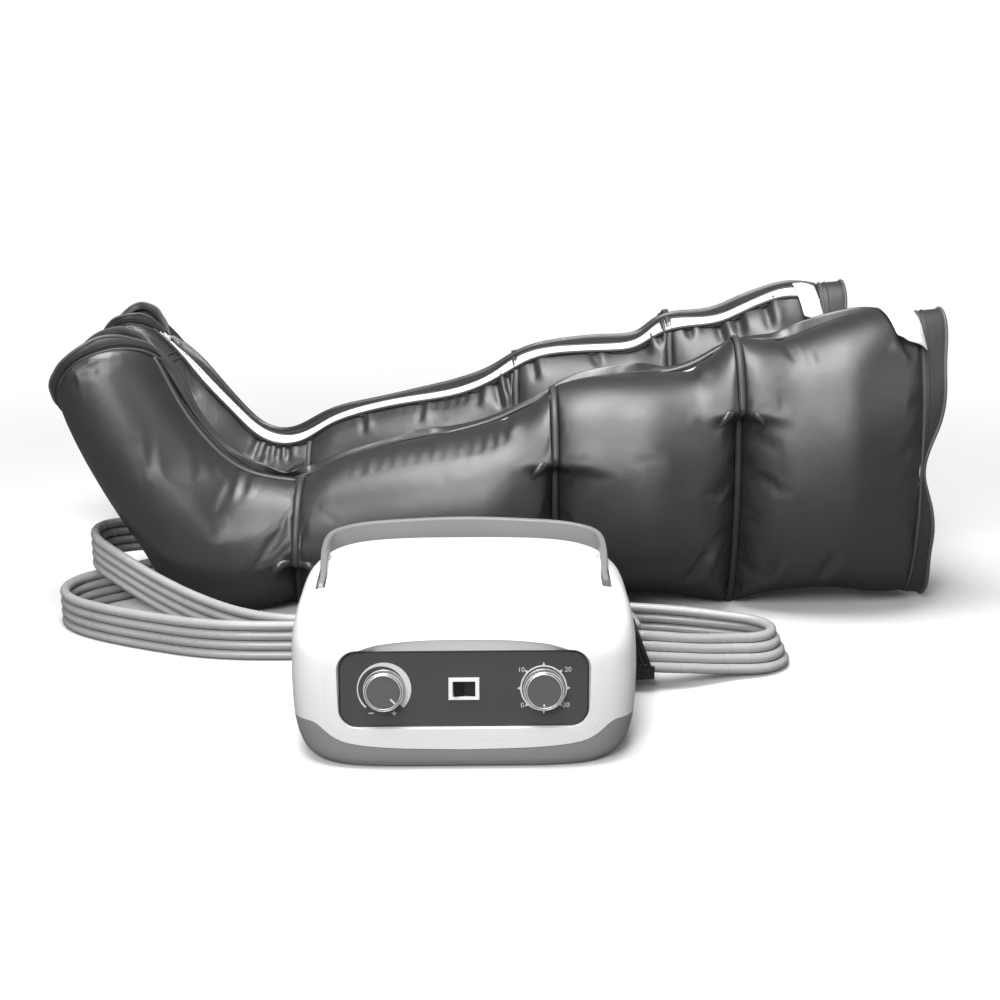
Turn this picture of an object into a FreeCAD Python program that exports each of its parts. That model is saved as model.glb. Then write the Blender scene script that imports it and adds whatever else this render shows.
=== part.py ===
"""Compression therapy set: air pump with carry handle, two hose ribbons and two inflatable leg sleeves.

Millimetres, +Z up, +X to the pump's right as its user faces it, +Y to the back.
The origin is the centre of the pump's footprint on the table.
"""
import FreeCAD, Part
import math
import os

V = FreeCAD.Vector
X_AXIS, Y_AXIS, Z_AXIS = V(1, 0, 0), V(0, 1, 0), V(0, 0, 1)

# ---- pump casing -------------------------------------------------------------------------
WALL = 2.6
SKID_HEIGHT = 3.0
# height, half width, front y, back y, squareness of the plan outline
CASING_LEVELS = [
    (3.0, 104.0, -93.0, 93.0, 5.0),
    (8.0, 112.5, -99.0, 98.0, 5.2),
    (16.0, 119.5, -102.0, 101.0, 5.4),
    (32.0, 126.0, -103.6, 102.6, 5.4),
    (60.0, 129.3, -103.0, 103.0, 5.2),
    (84.0, 128.4, -99.5, 102.8, 4.7),
    (98.0, 126.2, -92.5, 102.0, 4.0),
    (107.0, 123.6, -72.0, 100.6, 3.8),
    (113.0, 120.6, -32.0, 98.0, 4.0),
    (117.0, 114.0, 10.0, 93.0, 4.2),
    (119.3, 104.0, 36.0, 87.0, 4.2),
    (120.4, 88.0, 50.0, 78.0, 4.2),
]
OUTLINE_POINTS = 32
CAVITY_POINTS = 20
# parting line of tray and cover, seen from the front: x, z for the right half
SEAM_MIDDLE = 15.0
SEAM_SIDE = 30.0
SEAM_STEP_INNER = 86.0
SEAM_STEP_OUTER = 108.0
SEAM_GAP = 0.5

# ---- control panel and what sits on it ----------------------------------------------------
PANEL_TILT = 8.0
PANEL_CENTRE = V(0, -97.5, 61.0)
PANEL_W, PANEL_H, PANEL_R, PANEL_T = 181.0, 55.5, 13.0, 2.6
RECESS_FLARE = 4.5
FRAME_HALF = 104.0
FRAME_TOP = 103.0
FRAME_DEPTH = 26.0
FRAME_SMILE_LIFT = 5.0
KNOB_X = 58.0
KNOB_R, KNOB_H = 14.4, 14.0
SHAFT_R = 3.0
RING_R = 19.7
SWITCH_W, SWITCH_H = 22.5, 16.5
PADDLE_W, PADDLE_H = 15.6, 10.4
ROCKER_TILT = 7.0

# ---- carry handle ------------------------------------------------------------------------
PIVOT_Y, PIVOT_Z = -12.0, 105.5
HANDLE_REST = 9.0
BAND_T, BAND_W = 4.8, 19.0
ARM_X = 110.0
BOW_S = 114.0
BAND_EDGE = 1.3
PIN_R = 3.0

# ---- hose plug and hose ribbons ----------------------------------------------------------
PLUG_Y0, PLUG_Y1 = 34.0, 66.0
PLUG_Z0, PLUG_Z1 = 12.0, 54.0
PLUG_X0, PLUG_X_BOTTOM, PLUG_X_TOP = 127.0, 155.0, 141.0
HOSE_D = 9.0
HOSE_COUNT = 4
RIBBON_H = HOSE_D * HOSE_COUNT
ARC_SHARE = 0.45

FRONT_ROUTE = [
    (143, 66, 33), (143, 90, 33), (132, 113, 30), (105, 127, 26), (60, 129, 20.5), (5, 125, 18),
    (-60, 119, 18), (-115, 112.5, 18), (-170, 108.5, 18), (-228, 113, 18), (-282, 133, 18),
    (-330, 155, 18), (-362, 178, 18), (-377, 203, 18), (-373, 230, 18), (-354, 252, 18),
    (-326, 273, 18), (-299, 299, 18), (-268, 316, 20), (-236, 316, 20),
]
REAR_ROUTE = [
    (156, 50, 33), (178, 50, 33), (200, 62, 25), (224, 77, 19), (262, 90, 18), (276, 107, 18),
    (276, 129, 18), (262, 146, 18), (234, 156, 18), (198, 170, 18), (152, 182, 18), (98, 187, 18),
    (36, 178, 18), (-30, 160, 18), (-92, 139, 18), (-148, 123, 18), (-196, 136, 19), (-244, 162, 25),
    (-288, 186, 38), (-326, 205, 54), (-349, 228, 60), (-358, 258, 60), (-356, 295, 55),
    (-345, 336, 45), (-331, 380, 33), (-309, 420, 23), (-275, 441, 20), (-236, 441, 20),
]

# ---- leg sleeves: bottom (x, z), top (x, z), half width, for the sleeve nearer the pump ------
SECTION_POINTS = 12
SECTION_POWER = 2.4
FOOT = [
    ((-384, 176), (-300, 240), 50), ((-352, 128), (-262, 188), 57), ((-310, 66), (-228, 148), 58),
    ((-270, 6), (-202, 131), 55), ((-226, 0), (-181, 126), 54), ((-165, 4), (-161, 124), 42),
]
CALF = [
    ((-160, 5), (-156, 124), 42), ((-124, 9), (-126, 141), 60), ((-50, 7), (-48, 161), 68),
    ((10, 6), (8, 171), 70), ((50, 4), (51, 190), 64), ((77, 3), (74, 207), 48),
]
KNEE = [
    ((82, 3), (80, 212), 48), ((110, 10), (112, 219), 70), ((165, 14), (160, 222), 77),
    ((211, 9), (205, 225), 70), ((246, 0), (243, 256), 48),
]
THIGH = [
    ((251, 0), (248, 256), 48), ((285, 12), (284, 253), 72), ((340, 16), (345, 273), 78),
    ((385, 11), (382, 281), 70), ((417, 10), (410, 279), 48),
]
TOE_HEM_OUT = V(-0.56, 0, 0.83) * 22
MOUTH_HEM = [((418, 10), (411, 279), 47), ((439, 9), (436, 271), 50)]
HEM_WALL = 5.0
CHAMBER_WALL = 0.42
PARTS_DIR = "parts"


def export(name, shape):
    """Write one named sub-part and print what a reader would check."""
    if not shape.isValid():
        print("INVALID", name)
    print(f"{name:26s} solids {len(shape.Solids):3d} faces {len(shape.Faces):4d} volume {shape.Volume / 1000:9.2f} cm3")
    shape.exportStep(f"{PARTS_DIR}/{name}.step")


def box(x0, y0, z0, x1, y1, z1):
    return Part.makeBox(x1 - x0, y1 - y0, z1 - z0, V(x0, y0, z0))


def cylinder(base, axis, radius, height):
    return Part.makeCylinder(radius, height, base, axis)


def prism(points, direction):
    """Extrude a closed polygon."""
    return Part.Face(Part.makePolygon(points + [points[0]])).extrude(direction)


def join(shapes):
    return shapes[0].multiFuse(shapes[1:]).removeSplitter() if len(shapes) > 1 else shapes[0]


def mirror_x(shape):
    return shape.mirror(V(0, 0, 0), X_AXIS)


def rounded_rectangle(width, height, radius, z=0.0):
    """Face in the XY plane centred on the origin."""
    a, b = width / 2 - radius, height / 2 - radius
    edges = []
    corners = [(a, b, 0), (-a, b, 90), (-a, -b, 180), (a, -b, 270)]
    arcs = [Part.Arc(Part.Circle(V(cx, cy, z), Z_AXIS, radius), math.radians(start), math.radians(start + 90))
            for cx, cy, start in corners]
    for k, arc in enumerate(arcs):
        edges.append(arc.toShape())
        edges.append(Part.LineSegment(arc.EndPoint, arcs[(k + 1) % 4].StartPoint).toShape())
    return Part.Face(Part.Wire(edges))


def on_panel(shape, x=0.0, up=0.0, out=0.0):
    """Move a shape drawn as (x, up the panel, out of the panel) onto the tilted panel face."""
    placed = shape.copy()
    placed.translate(V(x, up, out))
    placed.rotate(V(0, 0, 0), X_AXIS, 90 - PANEL_TILT)
    placed.translate(PANEL_CENTRE)
    return placed


# ---- casing ------------------------------------------------------------------------------
def outline_points(level, inset, count):
    """Points of a superellipse, the plan outline of the casing at one height."""
    z, half, front, back, power = level
    a, b = half - inset, (back - front) / 2 - inset
    middle = (front + back) / 2
    points = []
    for k in range(count):
        t = 2 * math.pi * (k + 0.5) / count
        c, s = math.cos(t), math.sin(t)
        points.append(V(math.copysign(abs(c) ** (2 / power), c) * a,
                        middle + math.copysign(abs(s) ** (2 / power), s) * b, z))
    return points


def casing_outside():
    wires = []
    for level in CASING_LEVELS:
        curve = Part.BSplineCurve()
        curve.interpolate(Points=outline_points(level, 0, OUTLINE_POINTS), PeriodicFlag=True)
        wires.append(Part.Wire([curve.toShape()]))
    return Part.makeLoft(wires, True, False)


def casing_cavity():
    """Inside of the casing: straight facets that stay one wall away from the outside."""
    wires = []
    drop = WALL + 0.8
    for z, half, front, back, power in CASING_LEVELS[1:-1]:
        low = max(z - drop * (z > 90), SKID_HEIGHT + WALL)
        level = (low, half, front + (z > 100) * 6, back, power)
        points = outline_points(level, WALL + 0.6, CAVITY_POINTS)
        wires.append(Part.makePolygon(points + [points[0]]))
    return Part.makeLoft(wires, True, True)


def seam_curve(lift):
    """Parting line in the front view, from left to right, as a smooth curve."""
    half = [(0, SEAM_MIDDLE), (45, SEAM_MIDDLE + 1), (SEAM_STEP_INNER - 8, SEAM_MIDDLE + 3),
            (SEAM_STEP_INNER + 4, SEAM_MIDDLE + 6.5), (SEAM_STEP_OUTER - 6, SEAM_SIDE - 3),
            (SEAM_STEP_OUTER + 4, SEAM_SIDE), (140, SEAM_SIDE + 1)]
    points = [V(-x, 0, z + lift) for x, z in reversed(half[1:])] + [V(x, 0, z + lift) for x, z in half]
    curve = Part.BSplineCurve()
    curve.interpolate(points)
    return curve


def below_seam(lift):
    """Everything under the parting line."""
    curve = seam_curve(lift)
    left, right = curve.StartPoint, curve.EndPoint
    low_left, low_right = V(left.x, 0, -5), V(right.x, 0, -5)
    wire = Part.Wire([curve.toShape(), Part.LineSegment(right, low_right).toShape(),
                      Part.LineSegment(low_right, low_left).toShape(),
                      Part.LineSegment(low_left, left).toShape()])
    solid = Part.Face(wire).extrude(V(0, 260, 0))
    solid.translate(V(0, -130, 0))
    return solid


def frame_outline():
    """Front-view outline of the front frame: straight sides, crowned top and a smile below."""
    side = FRAME_HALF
    smile = SEAM_MIDDLE + FRAME_SMILE_LIFT
    top_left, top_right = V(-side, 0, FRAME_TOP - 9), V(side, 0, FRAME_TOP - 9)
    low_left, low_right = V(-side, 0, smile + 18), V(side, 0, smile + 18)
    bottom = Part.BSplineCurve()
    bottom.interpolate([low_right, V(side - 5, 0, smile + 8.5), V(side - 20, 0, smile + 3), V(40, 0, smile + 0.6),
                        V(0, 0, smile), V(-40, 0, smile + 0.6), V(20 - side, 0, smile + 3),
                        V(5 - side, 0, smile + 8.5), low_left])
    return Part.Wire([Part.Arc(top_left, V(0, 0, FRAME_TOP), top_right).toShape(),
                      Part.LineSegment(top_right, low_right).toShape(), bottom.toShape(),
                      Part.LineSegment(low_left, top_left).toShape()])


def frame_region(gap):
    """Block in front of the casing that the front frame fills, grown by a gap."""
    wire = frame_outline()
    if gap:
        grown = wire.copy()
        middle = V(0, 0, 60)
        matrix = FreeCAD.Matrix()
        matrix.move(V(0, 0, -middle.z))
        matrix.scale(V(1 + gap / FRAME_HALF, 1, 1 + gap / 42))
        matrix.move(V(0, 0, middle.z))
        wire = grown.transformGeometry(matrix)
    solid = Part.Face(wire).extrude(V(0, 130 - 76, 0))
    solid.translate(V(0, -130, 0))
    return solid


def panel_recess():
    """Flared pocket in which the control panel lies."""
    low = rounded_rectangle(PANEL_W + 0.6, PANEL_H + 0.6, PANEL_R + 0.3)
    high = rounded_rectangle(PANEL_W + 2 * RECESS_FLARE, PANEL_H + 2 * RECESS_FLARE, PANEL_R + RECESS_FLARE, 16)
    flare = Part.makeLoft([low.OuterWire, high.OuterWire], True, True)
    seat = rounded_rectangle(PANEL_W + 0.6, PANEL_H + 0.6, PANEL_R + 0.3, -PANEL_T).extrude(V(0, 0, PANEL_T + 0.1))
    return on_panel(join([flare, seat]))


def pump_casing():
    outside, cavity = casing_outside(), casing_cavity()
    handle_rib = outside.common(handle_band(BAND_T / 2 + 3.6, BAND_W / 2 + 3.4, 14.0))
    inside = cavity.cut(handle_rib)
    shell = outside.cut(inside)
    handle_way = handle_band(BAND_T / 2 + 1.2, BAND_W / 2 + 1.2, 11.2).fuse(handle_way_up())
    socket = box(98, PLUG_Y0 - 1.4, PLUG_Z0 - 1.4, 140, PLUG_Y1 + 1.4, PLUG_Z1 + 1.4)

    tray = shell.common(below_seam(0))
    bosses = [cylinder(V(x, y, SKID_HEIGHT + 1), Z_AXIS, 5, 9) for x in (-96, 96) for y in (-70, 70)]
    posts = [cylinder(V(x, y, SKID_HEIGHT + 1), Z_AXIS, 4, 7) for x, y in COMPRESSOR_FEET]
    tray = join([tray] + bosses + posts)
    holes = [cylinder(V(x, y, -1), Z_AXIS, 2.1, 20) for x in (-96, 96) for y in (-70, 70)]
    sinks = [cylinder(V(x, y, -1), Z_AXIS, 4.2, 7.2) for x in (-96, 96) for y in (-70, 70)]
    vents = [box(-60 + 12 * k, -50, -1, -56 + 12 * k, -22, 10) for k in range(6)]
    tray = tray.cut(Part.makeCompound(holes + sinks + vents + [socket]))

    cover = shell.cut(below_seam(SEAM_GAP))
    above = outside.cut(below_seam(SEAM_GAP))
    pillars = [cylinder(V(x, y, 14.0), Z_AXIS, 5, 110) for x in (-96, 96) for y in (-70, 70)]
    pillars = Part.makeCompound(pillars).common(above)
    pad = box(INLET_X - 19, 93, INLET_Z - 17, FUSE_X + 11, 101, INLET_Z + 17)
    cover = join([cover, pillars, pad])
    pilot = [cylinder(V(x, y, 10), Z_AXIS, 1.5, 40) for x in (-96, 96) for y in (-70, 70)]
    slots = [box(20 + 9 * k, 90, 46, 24.5 + 9 * k, 112, 82) for k in range(8)]
    flat = box(INLET_X - 17, FLAT_Y, INLET_Z - 15.5, FUSE_X + 9.5, 112, INLET_Z + 15.5)
    inlet_hole = box(INLET_X - 14.2, 88, INLET_Z - 11, INLET_X + 14.2, 112, INLET_Z + 11)
    fuse_hole = cylinder(V(FUSE_X, 88, INLET_Z), Y_AXIS, 6.2, 30)
    pin_holes = [cylinder(V(side * ARM_X - 7, PIVOT_Y, PIVOT_Z), X_AXIS, PIN_R, 14) for side in (-1, 1)]
    frame_solid = outside.common(frame_region(0)).cut(inside)
    back_wall = outside.common(frame_region(0)).common(box(-120, -100, 0, 120, -84.5, 130))
    cover = cover.cut(Part.makeCompound([socket, flat, inlet_hole, fuse_hole] + pilot + slots + pin_holes))
    cover = cover.cut(handle_way).cut(frame_region(0.35))
    frame_solid = join([frame_solid, back_wall]).cut(panel_recess())
    window = rounded_rectangle(PANEL_W - 8, PANEL_H - 8, PANEL_R - 4, -40).extrude(V(0, 0, 60))
    frame_solid = frame_solid.cut(on_panel(window))
    return tray, biggest(cover), biggest(frame_solid)


def biggest(shape):
    """The main solid, without slivers that a cut leaves."""
    return max(shape.Solids, key=lambda solid: solid.Volume)


def base_skid():
    """Rubber ring all round the bottom, the pump's foot."""
    level = (0.0,) + CASING_LEVELS[0][1:]
    ring = prism(outline_points(level, 3.0, 24), V(0, 0, SKID_HEIGHT))
    return ring.cut(prism(outline_points(level, 12.0, 24), V(0, 0, SKID_HEIGHT)))


# ---- handle ------------------------------------------------------------------------------
def band_path():
    """Centreline of the strap in the handle's own plane (x, s): two arms, round corners and a bow."""
    half = [(ARM_X, 0), (ARM_X + 1.4, 36), (ARM_X + 2.2, 70), (ARM_X - 2.5, 89), (ARM_X - 16, 100),
            (56, BOW_S - 4.5), (0, BOW_S)]
    curve = Part.BSplineCurve()
    curve.interpolate([V(-x, s, 0) for x, s in half] + [V(x, s, 0) for x, s in reversed(half[:-1])])
    return Part.Wire([curve.toShape()])


def handle_band(half_thickness, half_width, end_radius, edge_radius=0.0):
    """Bowed strap with round ends about the pivots, in its folded place."""
    if edge_radius:
        profile = rounded_rectangle(2 * half_thickness, 2 * half_width, edge_radius).OuterWire
    else:
        t, w = half_thickness, half_width
        profile = Part.makePolygon([V(-t, -w, 0), V(t, -w, 0), V(t, w, 0), V(-t, w, 0), V(-t, -w, 0)])
    profile.rotate(V(0, 0, 0), X_AXIS, 90)
    profile.translate(V(-ARM_X, 0, 0))
    pipe = Part.BRepOffsetAPI.MakePipeShell(band_path())
    pipe.setBiNormalMode(Z_AXIS)
    pipe.add(profile)
    pipe.build()
    pipe.makeSolid()
    ends = []
    for side in (-1, 1):
        end = cylinder(V(side * ARM_X - half_thickness, 0, 0), X_AXIS, end_radius, 2 * half_thickness)
        ends.append(end.makeFillet(edge_radius, end.Edges[:1] + end.Edges[2:]) if edge_radius else end)
    return fold_back(join([pipe.shape()] + ends))


def fold_back(shape):
    """From the handle's plane (x, s, width) to its folded place behind the casing's top."""
    placed = shape.copy()
    placed.rotate(V(0, 0, 0), X_AXIS, HANDLE_REST)
    placed.translate(V(0, PIVOT_Y, PIVOT_Z))
    return placed


def handle_way_up():
    """Room above the folded handle, so that it lifts out of its groove."""
    ways = []
    for side in (-1, 1):
        x = side * ARM_X
        t = BAND_T / 2 + 1.2
        low = PIVOT_Z - 2
        way = prism([V(x - t, PIVOT_Y - 11.2, low), V(x - t, PIVOT_Y + 60, low + 9),
                     V(x - t, PIVOT_Y + 60, 140), V(x - t, PIVOT_Y - 11.2, 140)], V(2 * t, 0, 0))
        ways.append(way)
    bar = handle_band(BAND_T / 2 + 1.2, BAND_W / 2 + 1.2, 11.2)
    for rise in (9, 18):
        lifted = bar.copy()
        lifted.translate(V(0, 0, rise))
        ways.append(lifted)
    return join(ways)


def carry_handle():
    band = handle_band(BAND_T / 2, BAND_W / 2, BAND_W / 2, BAND_EDGE)
    bores = [cylinder(V(side * ARM_X - 6, PIVOT_Y, PIVOT_Z), X_AXIS, PIN_R + 0.06, 12) for side in (-1, 1)]
    return band.cut(Part.makeCompound(bores))


def handle_pins():
    return Part.makeCompound([cylinder(V(side * ARM_X - 7, PIVOT_Y, PIVOT_Z), X_AXIS, PIN_R, 14)
                              for side in (-1, 1)])


# ---- knobs, switch and dial rings --------------------------------------------------------
def knob(pointer_angle):
    """Turned knob: wide skirt, waisted body, dished cap and a pointer groove. Axis along +Z."""
    profile = [V(0, 0, 1.0), V(KNOB_R, 0, 1.0), V(KNOB_R, 0, 3.2), V(KNOB_R - 0.9, 0, 4.0),
               V(KNOB_R - 1.3, 0, KNOB_H - 2.2), V(KNOB_R - 2.2, 0, KNOB_H - 0.6), V(KNOB_R - 3.0, 0, KNOB_H),
               V(KNOB_R - 3.6, 0, KNOB_H - 0.5), V(0, 0, KNOB_H - 0.5)]
    body = Part.Face(Part.makePolygon(profile + [profile[0]])).revolve(V(0, 0, 0), Z_AXIS, 360)
    groove = box(4.6, -0.55, KNOB_H - 0.95, KNOB_R - 4.4, 0.55, KNOB_H + 1)
    groove.rotate(V(0, 0, 0), Z_AXIS, pointer_angle)
    return body.cut(groove)


def shaft(length):
    """Control spindle with its flat, seated in the knob."""
    rod = cylinder(V(0, 0, -length), Z_AXIS, SHAFT_R, length + 1.0)
    return rod


def crescent_ring():
    """Level ring that widens clockwise from minimum to maximum, open at the bottom."""
    outer = cylinder(V(0, 0, 0), Z_AXIS, RING_R, 0.4)
    inner = cylinder(V(-1.9, 0, -1), Z_AXIS, RING_R - 2.7, 3)
    gap = prism([V(0, 0, -1), V(30, -30, -1), V(-30, -30, -1)], V(0, 0, 3))
    return biggest(outer.cut(inner).cut(gap))


def tick_ring():
    """Minute ring with eight pointed marks."""
    ring = cylinder(V(0, 0, 0), Z_AXIS, 17.1, 0.4).cut(cylinder(V(0, 0, -1), Z_AXIS, 15.9, 3))
    marks = []
    for k in range(8):
        mark = prism([V(16.6, -1.3, 0), V(19.4, 0, 0), V(16.6, 1.3, 0)], V(0, 0, 0.4))
        mark.rotate(V(0, 0, 0), Z_AXIS, 45 * k)
        marks.append(mark)
    return join([ring] + marks)


def control_panel():
    plate = rounded_rectangle(PANEL_W, PANEL_H, PANEL_R, -PANEL_T).extrude(V(0, 0, PANEL_T))
    holes = [cylinder(V(x, 0, -10), Z_AXIS, SHAFT_R + 0.8, 20) for x in (-KNOB_X, KNOB_X)]
    window = box(-SWITCH_W / 2 + 1.2, -SWITCH_H / 2 + 1.2, -10, SWITCH_W / 2 - 1.2, SWITCH_H / 2 - 1.2, 10)
    return on_panel(plate.cut(Part.makeCompound(holes + [window])))


def switch_frame():
    """Rocker switch housing: a bezel in front of the panel and a box behind it."""
    bezel = box(-SWITCH_W / 2, -SWITCH_H / 2, 0, SWITCH_W / 2, SWITCH_H / 2, 1.8)
    bezel = bezel.makeFillet(0.6, [e for e in bezel.Edges if e.BoundBox.ZMin > 1.7])
    housing = box(-SWITCH_W / 2 + 1.4, -SWITCH_H / 2 + 1.4, -18, SWITCH_W / 2 - 1.4, SWITCH_H / 2 - 1.4, 0.5)
    well = box(-PADDLE_W / 2 - 0.5, -PADDLE_H / 2 - 0.4, -9, PADDLE_W / 2 + 0.5, PADDLE_H / 2 + 0.4, 5)
    tabs = [box(x, -1.5, -26, x + 0.8, 1.5, -17.5) for x in (-6, 0, 6)]
    return on_panel(join([bezel, housing] + tabs).cut(well))


def power_rocker():
    """Rocker paddle on its cross pin, tipped to one side."""
    half, edge = PADDLE_W / 2, 2.6
    outline = [V(-half, 0, -1.2), V(-half, 0, edge), V(0, 0, 0.9), V(half, 0, edge), V(half, 0, -1.2),
               V(2.5, 0, -6.5), V(-2.5, 0, -6.5)]
    paddle = prism(outline, V(0, PADDLE_H, 0))
    paddle.translate(V(0, -PADDLE_H / 2, 0))
    paddle.rotate(V(0, 0, -2.0), Y_AXIS, ROCKER_TILT)
    return on_panel(paddle)


# ---- inside the pump ---------------------------------------------------------------------
COMPRESSOR_X0, COMPRESSOR_X1 = -92.0, 8.0
COMPRESSOR_Y0, COMPRESSOR_Y1 = -8.0, 62.0
COMPRESSOR_Z = 17.0
COMPRESSOR_FEET = [(-84, 0), (-84, 54), (0, 0), (0, 54)]
INLET_X, INLET_Z = -62.0, 46.0
FUSE_X = -33.0
FLAT_Y = 99.4
ROTOR_CENTRE = V(62, 50, 0)
ROTOR_R = 15.0


def compressor():
    """Linear diaphragm compressor: frame, coils, heads, magnet arm and rubber mounts."""
    x0, x1, y0, y1, z0 = COMPRESSOR_X0, COMPRESSOR_X1, COMPRESSOR_Y0, COMPRESSOR_Y1, COMPRESSOR_Z
    middle = (y0 + y1) / 2
    frame = box(x0, y0, z0, x1, y1, z0 + 46).cut(box(x0 + 20, y0 + 5, z0 + 4, x1 - 20, y1 - 5, z0 + 60))
    tunnel = cylinder(V(x0 - 1, middle, z0 + 26), X_AXIS, 11, x1 - x0 + 2)
    frame = frame.cut(tunnel)
    coils = []
    for side in (-1, 1):
        core = box(x0 + 34, middle + side * 22 - 8, z0 + 8, x1 - 34, middle + side * 22 + 8, z0 + 44)
        coils.append(core.makeFillet(3, [e for e in core.Edges if abs(e.Length - 36) < 0.1]))
    heads = [cylinder(V(x, middle, z0 + 26), X_AXIS, 22, 9) for x in (x0 - 9, x1)]
    ports = [cylinder(V(x, middle, z0 + 44), Z_AXIS, 3, 12) for x in (x0 - 4.5, x1 + 4.5)]
    bores = [cylinder(V(x, middle, z0 + 26), X_AXIS, 15, 7) for x in (x0 - 7, x1 - 0.01)]
    heads = [join([h, p]).cut(b) for h, p, b in zip(heads, ports, bores)]
    rod = cylinder(V(x0 + 1, middle, z0 + 26), X_AXIS, 4, x1 - x0 - 2)
    magnet = box(x0 + 36, middle - 9, z0 + 18, x1 - 36, middle + 9, z0 + 34)
    cups = [cylinder(V(x, middle, z0 + 26), X_AXIS, 10, 3) for x in (x0 - 1.8, x1 - 1.2)]
    armature = join([rod, magnet] + cups)
    mounts = Part.makeCompound([cylinder(V(x, y, SKID_HEIGHT + 8), Z_AXIS, 7, z0 - SKID_HEIGHT - 8)
                                for x, y in COMPRESSOR_FEET])
    return frame, Part.makeCompound(coils), Part.makeCompound(heads), armature, mounts


def distributor():
    """Rotary valve that feeds the eight hose lines in turn, with its geared motor on top."""
    c = ROTOR_CENTRE
    body = cylinder(V(c.x, c.y, 8), Z_AXIS, 24, 22).cut(cylinder(V(c.x, c.y, 18), Z_AXIS, ROTOR_R + 1, 20))
    ports = []
    for k in range(8):
        port = cylinder(V(0, 0, 12.5), Y_AXIS, 2.2, 30)
        port.rotate(V(0, 0, 0), Z_AXIS, 45 * k + 22.5)
        port.translate(V(c.x, c.y, 0))
        ports.append(port)
    body = join([body] + ports)
    rotor = cylinder(V(c.x, c.y, 18.5), Z_AXIS, ROTOR_R, 6)
    slot = cylinder(V(c.x + 9, c.y, 18), Z_AXIS, 3, 4)
    stem = cylinder(V(c.x, c.y, 24), Z_AXIS, 3, 14)
    rotor = join([rotor, stem]).cut(slot)
    lid = cylinder(V(c.x, c.y, 30.4), Z_AXIS, 24, 4).cut(cylinder(V(c.x, c.y, 20), Z_AXIS, 3.06, 30))
    motor = cylinder(V(c.x, c.y, 38.6), Z_AXIS, 20, 17)
    can = cylinder(V(c.x, c.y, 34.4), Z_AXIS, 20, 4.4).cut(cylinder(V(c.x, c.y, 20), Z_AXIS, 17, 18.5))
    return body, rotor, join([lid, can, motor])


def outlet_manifold():
    """Socket block in the side wall with two rows of four nozzles."""
    y_rows = (PLUG_Y0 + 8, PLUG_Y1 - 8)
    block = box(106, PLUG_Y0 - 1, PLUG_Z0 - 1, PLUG_X0, PLUG_Y1 + 1, PLUG_Z1 + 1)
    bores, barbs = [], []
    for y in y_rows:
        for k in range(HOSE_COUNT):
            z = PLUG_Z0 + 6 + 10 * k
            bores.append(cylinder(V(100, y, z), X_AXIS, 1.6, 26))
            barbs.append(cylinder(V(98, y, z), X_AXIS, 2.4, 9))
    return join([block] + barbs).cut(Part.makeCompound(bores))


def hose_plug():
    """Double plug: wedge that carries one ribbon on its slanted face and one on its back."""
    wedge = prism([V(PLUG_X0, PLUG_Y0, PLUG_Z0), V(PLUG_X_BOTTOM, PLUG_Y0, PLUG_Z0),
                   V(PLUG_X_BOTTOM, PLUG_Y0, PLUG_Z0 + 11), V(PLUG_X_TOP, PLUG_Y0, PLUG_Z1),
                   V(PLUG_X0, PLUG_Y0, PLUG_Z1)], V(0, PLUG_Y1 - PLUG_Y0, 0))
    grooves = []
    for k in range(3):
        groove = box(0, -1, -40, 1.2, 1.0, 60)
        groove.rotate(V(0, 0, 0), Y_AXIS, -24)
        groove.translate(V(PLUG_X0 + 6 + 5.5 * k, PLUG_Y0, PLUG_Z0 + 14))
        grooves.append(groove)
    grooves = Part.makeCompound(grooves).common(box(120, 0, PLUG_Z0 + 11, 160, 80, PLUG_Z1 + 2))
    collar = box(PLUG_X_TOP - 6, PLUG_Y0 + 8, PLUG_Z0 + 2, REAR_ROUTE[0][0], PLUG_Y1 - 8, PLUG_Z1 - 2)
    return join([wedge.cut(grooves), collar])


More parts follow.
